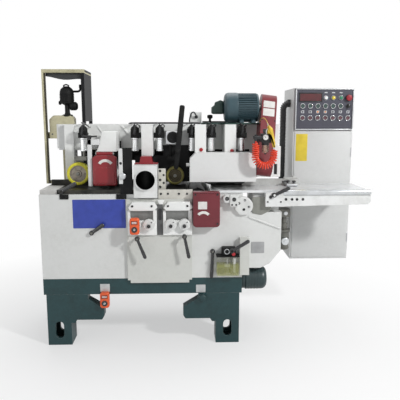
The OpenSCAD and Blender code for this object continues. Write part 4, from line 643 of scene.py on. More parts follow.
piece("cabinet_door", slab(rectangle((880, 1217), (396, 1164), 8), (55.5, 60.0), 1.5), "bed", SHADED_CABINET_WHITE)
piece("cabinet_plate", slab(rectangle((889, 958), (987, 1147), 3), (54.9, 55.7), 0.3), "bed", YELLOW_FILM)
backs = louvres(range(950, 1150, 24), 12, (470, 640), (338.5, 343.0), 1.4)
piece("cabinet_back_louvres", backs, "bed", SHADED_CABINET_WHITE)
hinges = [rod((1221, 58, z - 28), (1221, 58, z + 28), 4.0, 1.0, 20) for z in (520, 1040)]
piece("cabinet_hinges", hinges, "bed", ALUMINIUM)
lock = [turned(disc_profile(13, 0, 5, 1.5), (1192, 55.5, 790), OUT),
        rounded_box((1189, 48, 779), (1195, 52, 801), 1.5)]
piece("cabinet_lock", lock, "bed", CHROME)

# Conduit: corrugated hose on its straight run and bend, with screwed ends

def corrugated(path, r, pitch, depth, n=24):
    """Tube whose radius runs r - depth / 2 + depth / 2 cos(2 pi s / pitch) along its length s."""
    path = np.asarray(path, float)
    s = np.concatenate([[0], np.cumsum(np.linalg.norm(np.diff(path, axis=0), axis=1))])
    even = np.linspace(0, s[-1], int(s[-1] / pitch * 8) + 1)
    fine = np.stack([np.interp(even, s, path[:, k]) for k in range(3)], -1)
    return tube(fine, r - depth / 2 + depth / 2 * np.cos(2 * np.pi * even / pitch), n)


CONDUIT_X, CONDUIT_Y, CONDUIT_R = 832.0, 170.0, 36.0
bend = np.linspace(np.pi, np.pi / 2, 24)
bend = np.stack([868 + CONDUIT_R * np.cos(bend), 0 * bend + CONDUIT_Y, 1292 + CONDUIT_R * np.sin(bend)], -1)
run = [[[CONDUIT_X, CONDUIT_Y, 742], [CONDUIT_X, CONDUIT_Y, 1286]], bend, [[871, CONDUIT_Y, 1328]]]
piece("conduit_hose", corrugated(np.concatenate(run), 20.0, 9.0, 4.0), "bed", GREY_CONDUIT, 60.0, ["conduit"])
nut = [(0, 0), (26, 0), (26, 14), (23, 18), (0, 18)]
nuts = [turned(nut, (CONDUIT_X, CONDUIT_Y, 740), UP, 6), turned(nut, (872, CONDUIT_Y, 1328), (-1, 0, 0), 6)]
piece("conduit_nuts", nuts, "bed", BLACK_PLASTIC)

# Feed motor: ribbed frame, domed fan cover, end bell, feet, base and terminal box

MOTOR_X, MOTOR_Y, MOTOR_Z, FOOT_Z = 455.0, -20.0, 1297.0, 1213.0


def ribbed(x0, x1, r0, r1, count):
    """Finned cylinder along X: the radius steps between r0 and r1 count times a turn, at each end of X the same."""
    shares = np.arange(count)[:, None] + np.array([0.0, 0.30, 0.36, 0.64, 0.70])
    steps = shares.reshape(-1) * 2 * np.pi / count
    r = np.tile([r0, r0, r1, r1, r0], count)
    rim = np.stack([0 * r, MOTOR_Y + r * np.cos(steps), MOTOR_Z + r * np.sin(steps)], -1)
    return np.concatenate([rim + [x0, 0, 0], rim + [x1, 0, 0]]), capped(2, len(r))


quarter = np.linspace(0, np.pi / 2, 9)
shell = np.concatenate([[[0, 3], [20, 3], [22, 0], [30, 0], [32, 3], [40, 3], [42, 0], [54, 0]],
                        np.stack([60 + 24 * np.sin(quarter), 26 - 26 * np.cos(quarter)], -1),
                        [[84, 70], [82.5, 72], [82.5, 75], [0, 75]]])
shell = turned(shell, (MOTOR_X, MOTOR_Y, MOTOR_Z), FEED, 64)
piece("motor_fan_cover", shell, "beam", MOTOR_PAINT, 30.0, ["feed_motor"])
piece("motor_frame", ribbed(529, 635, 74, 81, 40), "beam", MOTOR_PAINT, 20.0)
bell = [(0, 0), (79, 0), (79, 8), (76, 11), (46, 12), (44, 9), (0, 9)]
bell_bolts = [hex_bolt((643, MOTOR_Y + 66 * math.cos(a), MOTOR_Z + 66 * math.sin(a)), FEED, 4, 3)
              for a in (0.785, 2.356, 3.927, 5.498)]
piece("motor_end_bell", [turned(bell, (634, MOTOR_Y, MOTOR_Z), FEED, 56), *bell_bolts], "beam", MOTOR_PAINT)
foot = [(MOTOR_Y + y, FOOT_Z + z) for y, z in ((-70, 0), (70, 0), (70, 10), (44, 24), (-44, 24), (-70, 10))]
feet = [slab(foot, (x, x + 24), 2, "x") for x in (537, 604)]
feet += [hex_bolt((x, MOTOR_Y + y, FOOT_Z + 10), UP, 6, 7) for x in (549, 616) for y in (-62, 62)]
piece("motor_feet", feet, "beam", MOTOR_PAINT)
rails = [rounded_box((324, MOTOR_Y + y, 1205), (646, MOTOR_Y + y + 34, FOOT_Z), 1.5) for y in (-80, -17, 46)]
rails += [rounded_box((x, MOTOR_Y - 80, 1205.3), (x + 40, MOTOR_Y + 80, 1212.6), 1.5) for x in (326, 420, 600)]
piece("motor_base", rails, "beam", DARK_GREEN)
case = [(386, 1268), (398, 1262), (454, 1262), (454, 1334), (436, 1341), (408, 1330), (402, 1312), (386, 1300)]
lid = slab(rectangle((404, 450), (1330, 1270), 6), (-1.5, 4), 1.5)
screws = [socket_screw((x, 0, z), OUT, 4, 3.5) for x, z in ((412, 1274), (446, 1274), (446, 1326))]
piece("motor_terminal_box", [slab(round_corners(case, 5), (0, 60), 4), lid, *screws], "beam", DARK_GREEN)

# Clamp levers: a turned hub and an oval arm that grows towards its round end

BED_Y = -270.0  # the bed's front face


def clamp_lever(name, node, pivot, tip, y1, width=8.5):
    """Arm of radius w(s) = width (0.85 + 0.3 s), closed at the tip by sqrt(1 - u u), and a hub turned about its
    pin; pivot and tip are (X, Z), y1 is where the hub sits."""
    pivot, tip = np.asarray(pivot, float), np.asarray(tip, float)
    s = np.concatenate([np.linspace(0.0, 0.9, 16), 0.9 + 0.1 * np.sin(np.linspace(0.1, np.pi / 2, 9))])
    cap = np.sqrt(np.clip(1 - np.clip((s - 0.9) / 0.1, 0, 1) ** 2, 0.0004, 1))
    way = unit(tip - pivot)
    flat = pivot + (tip + way * 9.5 - pivot) * s[:, None]
    rise = y1 - 8 - 3.5 * np.sin(np.pi * np.clip(s * 1.2, 0, 1) / 2)
    path = np.stack([flat[:, 0], rise, flat[:, 1]], -1)
    across = np.broadcast_to(np.array([-way[1], 0.0, way[0]]), path.shape)
    arm = tube(path, width * (0.85 + 0.3 * s) * cap, 20, across, 0.62)
    hub = [(6.2, 0), (13, 0), (13, 11), (11.5, 14.5), (9, 16), (6.2, 16), (6.2, 0)]
    piece(name, [arm, turned(hub, (pivot[0], y1, pivot[1]), OUT)], node, BLACK_PHENOLIC, 40.0, [node])


clamp_lever("adjuster_grip_1", "adjuster_lever_1", (-23, 612), (17, 514), -324)
clamp_lever("adjuster_grip_2", "adjuster_lever_2", (226, 622), (248, 514), -324)
clamp_lever("panel_grip", "panel_lever", (-268, 634), (-208, 676), -272, 10.0)
clamp_lever("drain_grip", "drain_lever", (378, 527), (372, 387), -272)
clamp_lever("outfeed_grip", "outfeed_lever", (-425, 855), (-350, 897), -252, 9.5)
clamp_lever("pump_grip", "pump_handle", (478, 542), (562, 594), -322, 9.5)
clamp_lever("fence_grip", "fence_lever", (700, 838), (774, 874), -302, 9.5)

PRESS_PIN = np.array([192, 1060])
lean = math.atan2(38, 350)
along, across = np.array([math.sin(lean), math.cos(lean)]), np.array([math.cos(lean), -math.sin(lean)])
bar = [PRESS_PIN + along * h + across * w
       for h, w in ((-99, -12), (-99, 12), (60, 15), (249, 14), (249, -14), (60, -15))]
bar = slab(round_corners(bar, [11, 11, 60, 9, 9, 60]), (-168, -153), 4)
piece("press_lever_bar", bar, "press_lever", BLACK_IRON_AND_SHADE, 40.0, ["press_lever"])
piece("press_lever_nut", hex_bolt((192, -168, 1060), OUT, 11, 6), "beam", BLACK_IRON_AND_SHADE)

# Feed wheels: a moulded tyre on a turned hub with a bolt circle

def feed_wheel(name, x, z, r, tyre, hub):
    """Tyre: a ring from 0.74 r to r with rounded shoulders; hub: a dished disc with six bolts and an axle boss."""
    at, inner, wide, shoulder = (x, -93.0, z), 0.74 * r, 50, 5.0
    t = np.linspace(0, np.pi / 2, 5)
    out, up = r - shoulder + shoulder * np.sin(t), shoulder - shoulder * np.cos(t)
    back, far = r - shoulder + shoulder * np.cos(t), wide - shoulder + shoulder * np.sin(t)
    loop = np.concatenate([[[inner, 0]], np.stack([out, up], -1), np.stack([back, far], -1),
                           [[inner + 3, wide], [inner, wide - 3], [inner, 0]]])
    piece(name + "_tyre", turned(loop, at, OUT, 64), name, tyre, 40.0, [name])
    dish = [(10.2, 0), (inner, 0), (inner, 46), (inner - 5, 46), (inner - 7, 41), (20, 41), (18, 47),
            (10.2, 47), (10.2, 0)]
    circle = 0.6 * r * 0.82
    bolts = [hex_bolt((x + circle * math.cos(a), -134, z + circle * math.sin(a)), OUT, 4.6, 4)
             for a in np.arange(6) * math.pi / 3]
    piece(name + "_hub", [turned(dish, at, OUT, 48), *bolts], name, hub, 35.0)


WHEELS = (("outfeed_wheel", -357, 936, 62, YELLOW_TYRE, HUB_STEEL),
          ("middle_wheel", 176, 924, 50, OLIVE_TYRE, SHADED_HUB),
          ("infeed_wheel_1", 377, 936, 62, DARK_RUBBER, HUB_STEEL),
          ("infeed_wheel_2", 530, 936, 62, DARK_RUBBER, HUB_STEEL))
for wheel in WHEELS:
    feed_wheel(*wheel)
for name, x, z, *_ in WHEELS:
    fork = name.split("_")[0] + "_fork"
    piece("axle_nut_%d" % (x + 500), hex_bolt((x, -147, z), OUT, 8, 6), fork, CAST_STEEL)

# Position counters: a moulded case, a dark dial window and a hollow shaft hub

def counter(name, x, z, y1):
    """Case with round edges, its hub a black ring about a steel bush, its window sunk in a bezel."""
    face, hub = y1 - 30, (x, y1 - 30, z - 16)
    case = [(x + u, z + v) for u, v in ((-25, -44), (25, -44), (25, 36), (17, 44), (-17, 44), (-25, 36))]
    case = slab(round_corners(case, [14, 14, 8, 8, 8, 8]), (face, y1), 5)
    piece(name + "_case", case, "bed", ORANGE_PLASTIC, 40.0, ["position_counters"])
    piece(name + "_hub", ring(hub, OUT, 6, 15.5, 4, 1.2), "bed", BLACK_PHENOLIC)
    piece(name + "_bush", [ring(hub, OUT, 3, 6, 3.5, 0.6), socket_screw(hub, OUT, 3, 2)], "bed", GROUND_STEEL)
    window = frame_bars((x - 16, x + 16), (face - 1.5, face), (z + 10, z + 30), 2.5, 0.6)
    piece(name + "_window", window, "bed", BLACK_PLASTIC)
    roll = [(0, 0), (8, 0), (8.4, 0.6), (8.4, 6.6), (8, 7.2), (0, 7.2)]
    rolls = [turned(roll, (x - 12.6 + 8.4 * i, y1 - 23.2, z + 20), FEED, 20) for i in range(3)]
    piece(name + "_rolls", rolls, "bed", PALE_PLASTIC)


counter("adjuster_counter", -33, 684, -332)
counter("leg_counter", -208, 264, BED_Y)

# Guards: the hinged one at the top head, the hood on the dust box and the box at the bottom head

def arc_band(centre, r0, r1, a0, a1, depth, n=24):
    """Flat band between two radii and two angles in the XZ plane, carried along Y."""
    a = np.linspace(math.radians(a0), math.radians(a1), n)
    way = np.stack([np.cos(a), np.sin(a)], -1)
    return slab(np.concatenate([centre + r1 * way, centre + r0 * way[::-1]]), depth, 0.3)


guard = round_corners([(-265, 884), (-258, 878), (-142, 878), (-135, 884), (-135, 1030), (-152, 1041), (-248, 1041),
                       (-265, 1030)], [4, 4, 4, 4, 12, 12, 12, 12])
pressed = round_corners([(-252, 892), (-148, 892), (-148, 960), (-162, 976), (-238, 976), (-252, 960)], 6)
shell = [slab(guard, (-212, -186), 6), slab(pressed, (-213.2, -208), 1.2),
         rod((-243, -190, 1050), (-157, -190, 1050), 9, 1.5),
         rounded_box((-243, -197, 1036), (-157, -187, 1050), 1.5)]
piece("top_guard_shell", shell, "top_guard", RED_GUARD, 40.0, ["top_guard"])
piece("top_guard_arc", arc_band((-195, 975), 32, 47, 35, 145, (-212.9, -211.8)), "top_guard", WHITE_FILM)
hood = round_corners([(-38, 996), (85, 996), (85, 1002), (59, 1002), (51, 1038), (-4, 1038), (-12, 1002),
                      (-38, 1002)], [1, 1, 2, 6, 5, 5, 6, 2])
piece("front_head_hood", slab(hood, (-240, -170), 2), "bed", RED_GUARD, 40.0, ["cutter_guards"])
GUARD_Y, GUARD_FILM = -330, (-330.9, -329.8)
low = slab(rectangle((271, 413), (670, 858), [20, 20, 5, 5]), (GUARD_Y, BED_Y), 7)
piece("bottom_guard_shell", low, "bed", SHADED_RED, 40.0, ["cutter_guards"])
piece("bottom_guard_arc", arc_band((326, 716), 28, 42, 40, 140, GUARD_FILM), "bed", WHITE_FILM)
piece("bottom_guard_plate", slab(rectangle((298, 345), (768, 808), 2), GUARD_FILM, 0.3), "bed", WHITE_FILM)
screws = [socket_screw((x, GUARD_Y, z), OUT, 5, 3) for x, z in ((284, 845), (400, 845), (400, 690))]
piece("bottom_guard_screws", screws, "bed", BLACK_PHENOLIC)

# Chip hood over the top head: a sheet spout, straight on the right and swept out on the left
side = np.linspace(0, 1, 12)
sweep = np.stack([-248 + 34 * side ** 0.6, 1060 + 106 * side], -1)
spout = np.concatenate([[[-136, 1166], [-140, 1060]], sweep])
piece("chip_spout", slab(spout, (-190, -20), 3), "top_head", LIT_WHITE, 35.0, ["dust_chute"])
hinge = [rounded_box((x, -196, 1044), (x + 3, -184, 1061), 1) for x in (-248, -155)]
hinge += [rod((-250, -190, 1050), (-150, -190, 1050), 4, 0.8, 20)]
piece("guard_hinge", hinge, "top_head", GROUND_STEEL)
post = [rounded_box((-291, -200, z), (x, -187, 1127), 2) for x, z in ((-268, 874), (-225, 1097))]
piece("guard_post", post, "top_head", WHITE_SHEET)
plug = [rounded_box((-316, -205, 1138), (-236, -192, 1147), 3),
        rod((-280, -193.5, 1126), (-280, -193.5, 1148), 11, 2)]
piece("guard_post_plug", plug, "top_head", BLACK_PLASTIC)

# Air cylinders on the beam: bright tubes, black heads, swivel elbows and thin air lines

# Each cylinder is its rod's X and the two X of its black head; the rods stand in one line, the heads on one level
CYLINDERS = ((-327, -353, -303), (-44, -66, -10), (93, 60, 116), (268, 252, 284), (378, 351, 404), (546, 515, 574))
ROD_Y, HEAD_Z = -105, 1131
barrel = [(9, 0), (20, 0), (20, 7), (17.2, 9), (17.2, 62), (20, 64), (20, 71), (9, 71), (9, 0)]
tubes = [turned(barrel, (x, ROD_Y, 1060), UP, 36) for x, _, _ in CYLINDERS]
piece("cylinder_tubes", tubes, "beam", BRIGHT_TUBE, 35.0, ["air_cylinders"])
bonnet = [(0, 0), (22, 0), (24, 3), (24, 22), (21, 30), (13, 38), (0, 38)]
heads, elbows, lines = [], [], []
for x, x0, x1 in CYLINDERS:
    heads += [rounded_box((x0, -128, HEAD_Z), (x1, -74, 1160), 4), turned(bonnet, (x, ROD_Y, 1157), UP, 36),
              rod((x, ROD_Y, 1190), (x, ROD_Y, 1202), 9, 2)]
    elbow = [(x, -136, 1150), (x, -146, 1152), (x + 2, -148, 1164), (x + 3, -148, 1176)]
    elbows += [rod((x, ROD_Y, 1150), (x, -137, 1150), 6.5, 1.5, 20), tube(curve_through(elbow, 16), 6, 16)]
    supply = [(x + 3, -148, 1174), (x + 4, -147, 1192), (x + 16, -138, 1204), (x + 25, ROD_Y, 1198),
              (x + 22, -60, 1190), (x + 16, 18, 1188)]
    top = [(x, ROD_Y, 1198), (x - 1, -104, 1207), (x - 10, -90, 1214), (x - 16, -30, 1212), (x - 14, 32, 1208)]
    lines += [tube(curve_through(supply, 40), 3.2, 10), tube(curve_through(top, 36), 3.2, 10)]
piece("cylinder_heads", heads, "beam", BLACK_IRON_AND_SHADE, 35.0, ["air_cylinders"])
piece("cylinder_elbows", elbows, "beam", BLACK_PLASTIC, 40.0)
trunk = [(-90, 26, 1206), (-74, 32, 1211), (0, 32, 1211), (120, 32, 1211.5), (236, 32, 1211), (300, 33, 1211),
         (318, 40, 1209)]
piece("air_lines", [*lines, tube(curve_through(trunk, 60), 5, 14)], "beam", BLACK_PLASTIC, 50.0)
knob = [(0, 0), (11, 0), (12, 3), (24, 5), (30, 8), (32, 12), (31, 17), (27, 20), (14, 19), (12, 16), (0, 16)]
valve = rounded_box((126, -130, 1096), (200, -70, 1166), 4)
piece("middle_valve", valve, "beam", ALUMINIUM, 35.0, ["air_cylinders"])
piece("middle_knob", turned(knob, (165, -130, 1135), OUT, 48), "beam", BLACK_IRON_AND_SHADE, 35.0)

# Air service unit: regulator, its knob, gauge, clear bowl, bracket and outlet; the gun on its hook

def around(centre, r, angles):
    """Points of a circle, as (first, second) pairs."""
    return [(centre[0] + r * math.cos(a), centre[1] + r * math.sin(a)) for a in angles]


BOWL = (655, -262.5)  # X and Y of the regulator and its bowl
regulator = [((630, -285, 1110), (680, -240, 1160), 5), ((613, -240, 1006), (619, -150, 1150), 2),
             ((592, -298, 1128), (631, -240, 1146), 4), ((679, -285, 1110), (694, -279, 1140), 2),
             ((619, -246, 1118), (632, -236, 1146), 2)]
regulator = [rounded_box(*bar) for bar in regulator] + [rod((600, -290, 1120), (600, -290, 1132), 8, 1.5, 24)]
piece("regulator_body", regulator, "beam", BLACK_PLASTIC, 35.0, ["air_service_unit"])
grip = [(0, 0), (11, 0), (11, 3), (13, 4), (13, 20), (12, 23), (9, 24), (0, 24)]
ribs = [rounded_box((x - 1.2, y - 1.2, 1165), (x + 1.2, y + 1.2, 1180), 0.8)
        for x, y in around(BOWL, 13, np.arange(16) * math.pi / 8)]
grip = turned(grip, (*BOWL, 1160), UP, 40)
piece("regulator_knob", [grip, *ribs], "beam", BLACK_PHENOLIC, 35.0)
collar = [ring((*BOWL, 1110), DOWN, 4, 20, 12, 1.5), rod((*BOWL, 1049), (*BOWL, 1057), 5, 1.5, 20)]
collar += [tube([(x, y, 1100), (x, y, 1062)], 1.6, 8)
           for x, y in around(BOWL, 19.2, np.arange(4) * math.pi / 2 + 0.4)]
piece("bowl_collar", collar, "beam", BLACK_PLASTIC, 35.0)
t = np.linspace(0, np.pi / 2, 8)
bowl = np.stack([6 + 12 * np.cos(t), 36 + 14 * np.sin(t)], -1)
bowl = np.concatenate([[[0, 0], [18, 0], [18, 36]], bowl, [[0, 50]]])
piece("filter_bowl", turned(bowl, (*BOWL, 1106), DOWN, 40), "beam", CLEAR_BOWL, 35.0)
GAUGE = (651, -285, 1140)
gauge = [(0, 0), (8, 0), (8, 4), (16, 5), (17, 7), (17, 13), (15.5, 14.2), (14.6, 13.2), (14.6, 11.4), (0, 11.4)]
piece("gauge_case", turned(gauge, GAUGE, OUT, 44), "beam", BLACK_PHENOLIC, 35.0)
piece("gauge_face", turned(disc_profile(14.4, 11.2, 12.0, 0.3), GAUGE, OUT, 40), "beam", WHITE_FILM)
needle = slab([(644, 1148.6), (651.6, 1139.6), (650.4, 1138.6), (642.8, 1147.6)], (-297.8, -297.2), 0.2)
ticks = [rounded_box((x - 0.6, -297.3, z - 0.6), (x + 0.6, -296.9, z + 0.6), 0.15)
         for x, z in around(GAUGE[::2], 11.6, np.radians(np.linspace(-45, 225, 10)))]
needle_pin = rod((651, -297, 1140), (651, -298.4, 1140), 1.8, 0.4, 16)
piece("gauge_needle", [needle, needle_pin, *ticks], "beam", BLACK_PLASTIC)
gun = round_corners([(689, 1086), (703, 1086), (702, 1112), (694, 1148), (687, 1186), (670, 1202), (657, 1196),
                     (661, 1182), (658, 1160), (667, 1155), (676, 1148)], [3, 3, 12, 12, 6, 5, 3, 6, 3, 4, 8])
gun_body = piece("air_gun_body", slab(gun, (-301, -285), 6), "beam", GUN_PLASTIC, 45.0, ["air_gun"])
GUN_Y = -293
trigger = curve_through([(661, GUN_Y, 1184), (654, GUN_Y, 1172), (656, GUN_Y, 1156), (666, GUN_Y, 1148)], 24)
gun_metal = [tube(trigger, 3.2, 12), rod((664, GUN_Y, 1198), (660, GUN_Y, 1210), 4, 1, 20),
             rod((660, GUN_Y, 1209), (656.5, GUN_Y, 1220), 2.6, 0.8, 16),
             rod((696, GUN_Y, 1078), (696, GUN_Y, 1088), 5.5, 1, 20)]
gun_metal = piece("air_gun_metal", gun_metal, "beam", ALUMINIUM, 45.0)
hook = [(668, -297, 1188), (664, -300, 1200), (655, -296, 1222), (646, -285, 1236), (640, -265, 1240),
        (640, -200, 1234), (640, -150, 1222)]
piece("gun_hook_wire", tube(curve_through(hook, 40), 1.8, 10), "beam", WIRE_COAT, 50.0)

# Oil pump: black head with its ring, red filler cap, clear reservoir with oil in it

head = [rounded_box((425, -320, 512), (501, BED_Y, 556), 7), rounded_box((396, -326, 506), (521, BED_Y, 513), 2),
        rod((478, -322, 542), (478, -342, 542), 6, 1, 24)]
piece("pump_head", head, "bed", BLACK_IRON_AND_SHADE, 35.0, ["oil_pump"])
piece("pump_ring", ring((452, -320, 536), OUT, 11, 15, 3, 1.0), "bed", ALUMINIUM)
piece("pump_filler", turned(dome(10, 0, 5.5, 3), (487, -320, 522), OUT, 28), "bed", RED_PLASTIC)
piece("oil_fill", rounded_box((399.5, -322.5, 403.5), (517.5, -273.5, 466), 1.5), "bed", OIL)
oil_float = [rod((455, -306, 466), (455, -306, 492), 3, 1, 16),
             rounded_box((441, -316, 448), (469, -296, 464.8), 4),
             rounded_box((486, -318, 420), (500, -304, 500), 3)]
piece("oil_float", oil_float, "bed", PALE_PLASTIC)
strainer = [(0, 0), (13, 0), (14, 2), (14, 26), (11, 30), (5, 32), (5, 92), (0, 92)]
strainer = [turned(strainer, (478, -296, 412), UP, 32), rounded_box((408, -300, 408), (446, -280, 436), 3)]
piece("pump_strainer", strainer, "bed", BLACK_IRON_AND_SHADE, 35.0)

# Motor at the plinth's end: turned frame with a rounded fan cover

LIFT_Y, LIFT_Z = -190, 352
fan = np.concatenate([[[0, 0], [58, 0], [60, 4], [60, 22], [64, 26], [64, 112]],
                      np.stack([36 + 28 * np.cos(quarter), 114 + 30 * np.sin(quarter)], -1),
                      [[30, 144], [28, 141], [0, 141]]])
piece("lift_motor_case", turned(fan, (540, LIFT_Y, LIFT_Z), FEED, 56), "bed", DARK_TEAL, 30.0, ["lift_motor"])
bands = [ring((x, LIFT_Y, LIFT_Z), FEED, 63, 64.8, 7, 0.8, 56) for x in range(566, 646, 16)]
piece("lift_motor_bands", bands, "bed", DARK_TEAL)

# Geared motor on the frame: domed motor, gear case, hand crank and foot

GX, GY = -488.0, 251.5
motor = np.concatenate([[[0, 0], [38, 0], [40, 4], [40, 10], [42, 12], [42, 60]],
                        np.stack([42 * np.cos(quarter), 64 + 40 * np.sin(quarter)], -1)])
piece("gear_motor_case", turned(motor, (GX, GY, 1328), UP, 48), "bed", BLACK_IRON_AND_SHADE, 35.0, ["gear_motor"])
fins = [ring((GX, GY, z), UP, 41, 44, 4, 0.6, 48) for z in range(1344, 1389, 9)]
piece("gear_motor_fins", fins, "bed", BLACK_IRON_AND_SHADE)
stem = [(0, 0), (32, 0), (32, 8), (29, 10), (18, 14), (15, 24), (15, 66), (24, 72), (38, 78), (0, 78)]
piece("gear_motor_stem", turned(stem, (GX, GY, 1250), UP, 40), "bed", BLACK_IRON_AND_SHADE, 35.0)
gear = [(0, 0), (22, 0), (26, 4), (26, 34), (22, 40), (10, 42), (0, 42)]
gear = [turned(gear, (GX + 18, GY, 1312), FEED, 40), ring((GX + 58, GY, 1312), FEED, 8, 18, 5, 1.5)]
piece("gear_case", gear, "bed", BLACK_IRON_AND_SHADE, 35.0)
crank = [(GX + x, GY, z) for x, z in ((20, 1400), (50, 1400), (74, 1402), (84, 1416), (84, 1440))]
ear = [(GX + x, GY, z) for x, z in ((-8, 1424), (-18, 1434), (-2, 1441), (14, 1434), (6, 1426))]
crank = [tube(curve_through(crank, 40), 6.5, 16), tube(curve_through(ear, 30), 4, 12),
         rod((GX + 84, GY, 1418), (GX + 84, GY, 1442), 8.5, 3, 24),
         rod((GX - 50, GY, 1332), (GX - 36, GY, 1332), 12, 3, 24)]
piece("gear_crank", crank, "bed", BLACK_IRON_AND_SHADE, 45.0)

# Adjusters on the front panel: plates round a milled window, a canted flange, screw caps with hex sockets

def hole(place, axis, r, h=0.8):
    """Countersunk dark hole: a low ring with a cone that runs down to its middle."""
    loop = [(0, 0), (r * 1.25, 0), (r * 1.25, h * 0.6), (r, h), (r * 0.82, h * 0.3), (0, h * 0.1)]
    return turned(loop, place, axis, 20)


FACE_Y, PLATE, FLANGE_Y, CAP_Y = -285, (-300, -285), -312, -324  # the panel's face, and what stands out from it
plates, backs, flanges, caps, sockets, screws = [], [], [], [], [], []
for x in (3, 190):
    for x0, x1, z0, z1 in ((-77, 77, 624, 704), (-77, -62, 700, 758), (57, 77, 700, 758)):
        plates.append(rounded_box((x + x0, PLATE[0], z0), (x + x1, PLATE[1], z1), 2.5))
    backs.append(rounded_box((x - 64, -292, 702), (x + 59, -285.5, 756), 0.5))
    edge = [(x - 62, 758), (x + 62, 758), (x + 81, 774), (x + 65, 804), (x - 51, 804), (x - 72, 774)]
    flanges.append(slab(round_corners(edge, 3), (FLANGE_Y, FACE_Y), 2))
    screws += [socket_screw((x + side, FLANGE_Y, 783), OUT, 6, 3) for side in (-50, 52)]
    for side in (-36, 36):
        caps.append(turned(disc_profile(31, 0, 24, 3), (x + side, PLATE[0], 684), OUT, 48))
        sockets.append(socket_screw((x + side, CAP_Y, 678), OUT, 10, 8))
        screws.append(socket_screw((x + side + 14, CAP_Y, 698), OUT, 3, 1.5))
lug = slab(round_corners([(94, 790), (112, 790), (122, 814), (84, 814)], 3), PLATE, 2)
piece("adjuster_plates", [*plates, *flanges, lug], "bed", LIT_WHITE, 32.0, ["spindle_adjusters"])
piece("adjuster_windows", backs, "bed", MILLED_GREY)
piece("adjuster_caps", caps, "bed", WHITE_CAST, 40.0)
piece("adjuster_sockets", sockets + screws, "bed", BLACK_PHENOLIC)
link = [slab(rectangle((81.5, 111.5), (624, 788), 3), (-293, FACE_Y), 1.5)]
link += [rounded_box((88, -295, z), (105, -292, z + 4), 1) for z in (664, 674, 684)]
piece("adjuster_link", link, "bed", DARK_SHEET)
piece("adjuster_slot", slab(rectangle((88, 105), (704, 768), 8.4), (-293.8, -292), 0.3), "bed", BLACK_PLASTIC)
pins = [rod((x, y0, z), (x, y1, z), 6, 1) for x, y0, y1, z in (
    (-23, -344, FACE_Y, 612), (226, -344, FACE_Y, 622), (-268, -292, BED_Y, 634), (378, -292, BED_Y, 527))]
piece("lever_pins", pins, "bed", CAST_STEEL)

# Infeed side: slotted disc, stop block with its stud, and a green stop knob at the leg
disc = [(0, 0), (50, 0), (50, 14), (47, 17.5), (30, 20), (26, 18), (0, 18)]
piece("infeed_disc", turned(disc, (542, BED_Y, 776), OUT, 64), "bed", WHITE_CAST, 40.0)
stop = slab(rectangle((466, 512), (776, 838), 4), (-306, BED_Y), 3)
stud = turned(disc_profile(22, 0, 30, 3), (452, BED_Y, 816), OUT, 40)
piece("infeed_stop", [stop, stud], "bed", WHITE_CAST, 40.0)
dots = [hole((x, y, z), OUT, r) for x, y, z, r in (
    (516, -289.5, 792, 6), (548, -289.5, 808, 5), (543, -289.5, 758, 6), (570, -289.5, 772, 5),
    (452, -300, 818, 9), (489, -306, 815, 9), (500, -306, 786, 4), (478, -306, 786, 4))]
piece("infeed_stop_holes", dots, "bed", BLACK_PHENOLIC)
piece("leg_knob", turned(dome(20, 0, 32, 8), (325, BED_Y, 270), OUT, 40), "bed", TEAL_CAST, 40.0)

# Table: screws in the edge strip, holes in its bracket, and the same along the infeed casting
marks = [socket_screw((x, -282, 844), OUT, 6, 4) for x in (103, 140, 198, 241)]
marks += [hole((x, -250, z), OUT, r)
          for x, z, r in ((98, 962, 6), (117, 940, 5), (98, 914, 6), (117, 898, 5), (98, 876, 6))]
piece("table_strip_screws", marks, "bed", BLACK_PHENOLIC)
holes = [hole((x, -262, 807), OUT, 6) for x in (773, 806, 833, 865)]
holes += [hole((x, -300, z), OUT, r) for x, z, r in ((684, 826, 7), (668, 800, 4), (738, 800, 4))]
piece("infeed_casting_holes", holes, "infeed_table", BLACK_PHENOLIC)
piece("curtain_edge", slab(rectangle((-118, -97), (895, 1082), 3), (-266, -262), 1), "bed", WHITE_SHEET)
piece("curtain_edge_holes", [hole((-107, -266, z), OUT, 6) for z in (1004, 938)], "bed", BLACK_PHENOLIC)
lining = turned([(48.6, 0), (49.8, 0), (49.8, 14.5), (48.6, 14.5), (48.6, 0)], (23.5, -302, 920), OUT, 64)
piece("dust_port_lining", lining, "bed", BLACK_PLASTIC, 40.0)

# Blank plates: the blue one on the bed, the rating plate on the bracket
piece("bed_plate", slab(rectangle((-366, -86), (658, 813), 4), (-271.2, BED_Y), 0.4), "bed", BLUE_PLATE)
plate = [slab(rectangle((587, 659), (513, 576), 3), (-271.4, BED_Y), 0.4)]
plate += [turned(dome(2.2, 0, 1.2, 1.0), (x, -271.4, z), OUT, 12) for x in (592, 654) for z in (518, 571)]
piece("bracket_plate", plate, "bed", PLATE_GREY)
ridge = slab([(566, 712), (571, 720), (744, 656), (744, 645)], (-276, -269), 2.5)
piece("bracket_ridge", ridge, "bed", WHITE_CAST, 40.0)
sector = [(590, 734), (640, 724), (687, 748), (700, 800), (690, 823), (590, 823)]
sector = slab(round_corners(sector, [6, 20, 20, 10, 6, 6]), (-273, -269.5), 1.5)
piece("bracket_sector", sector, "bed", GREY_SHEET)

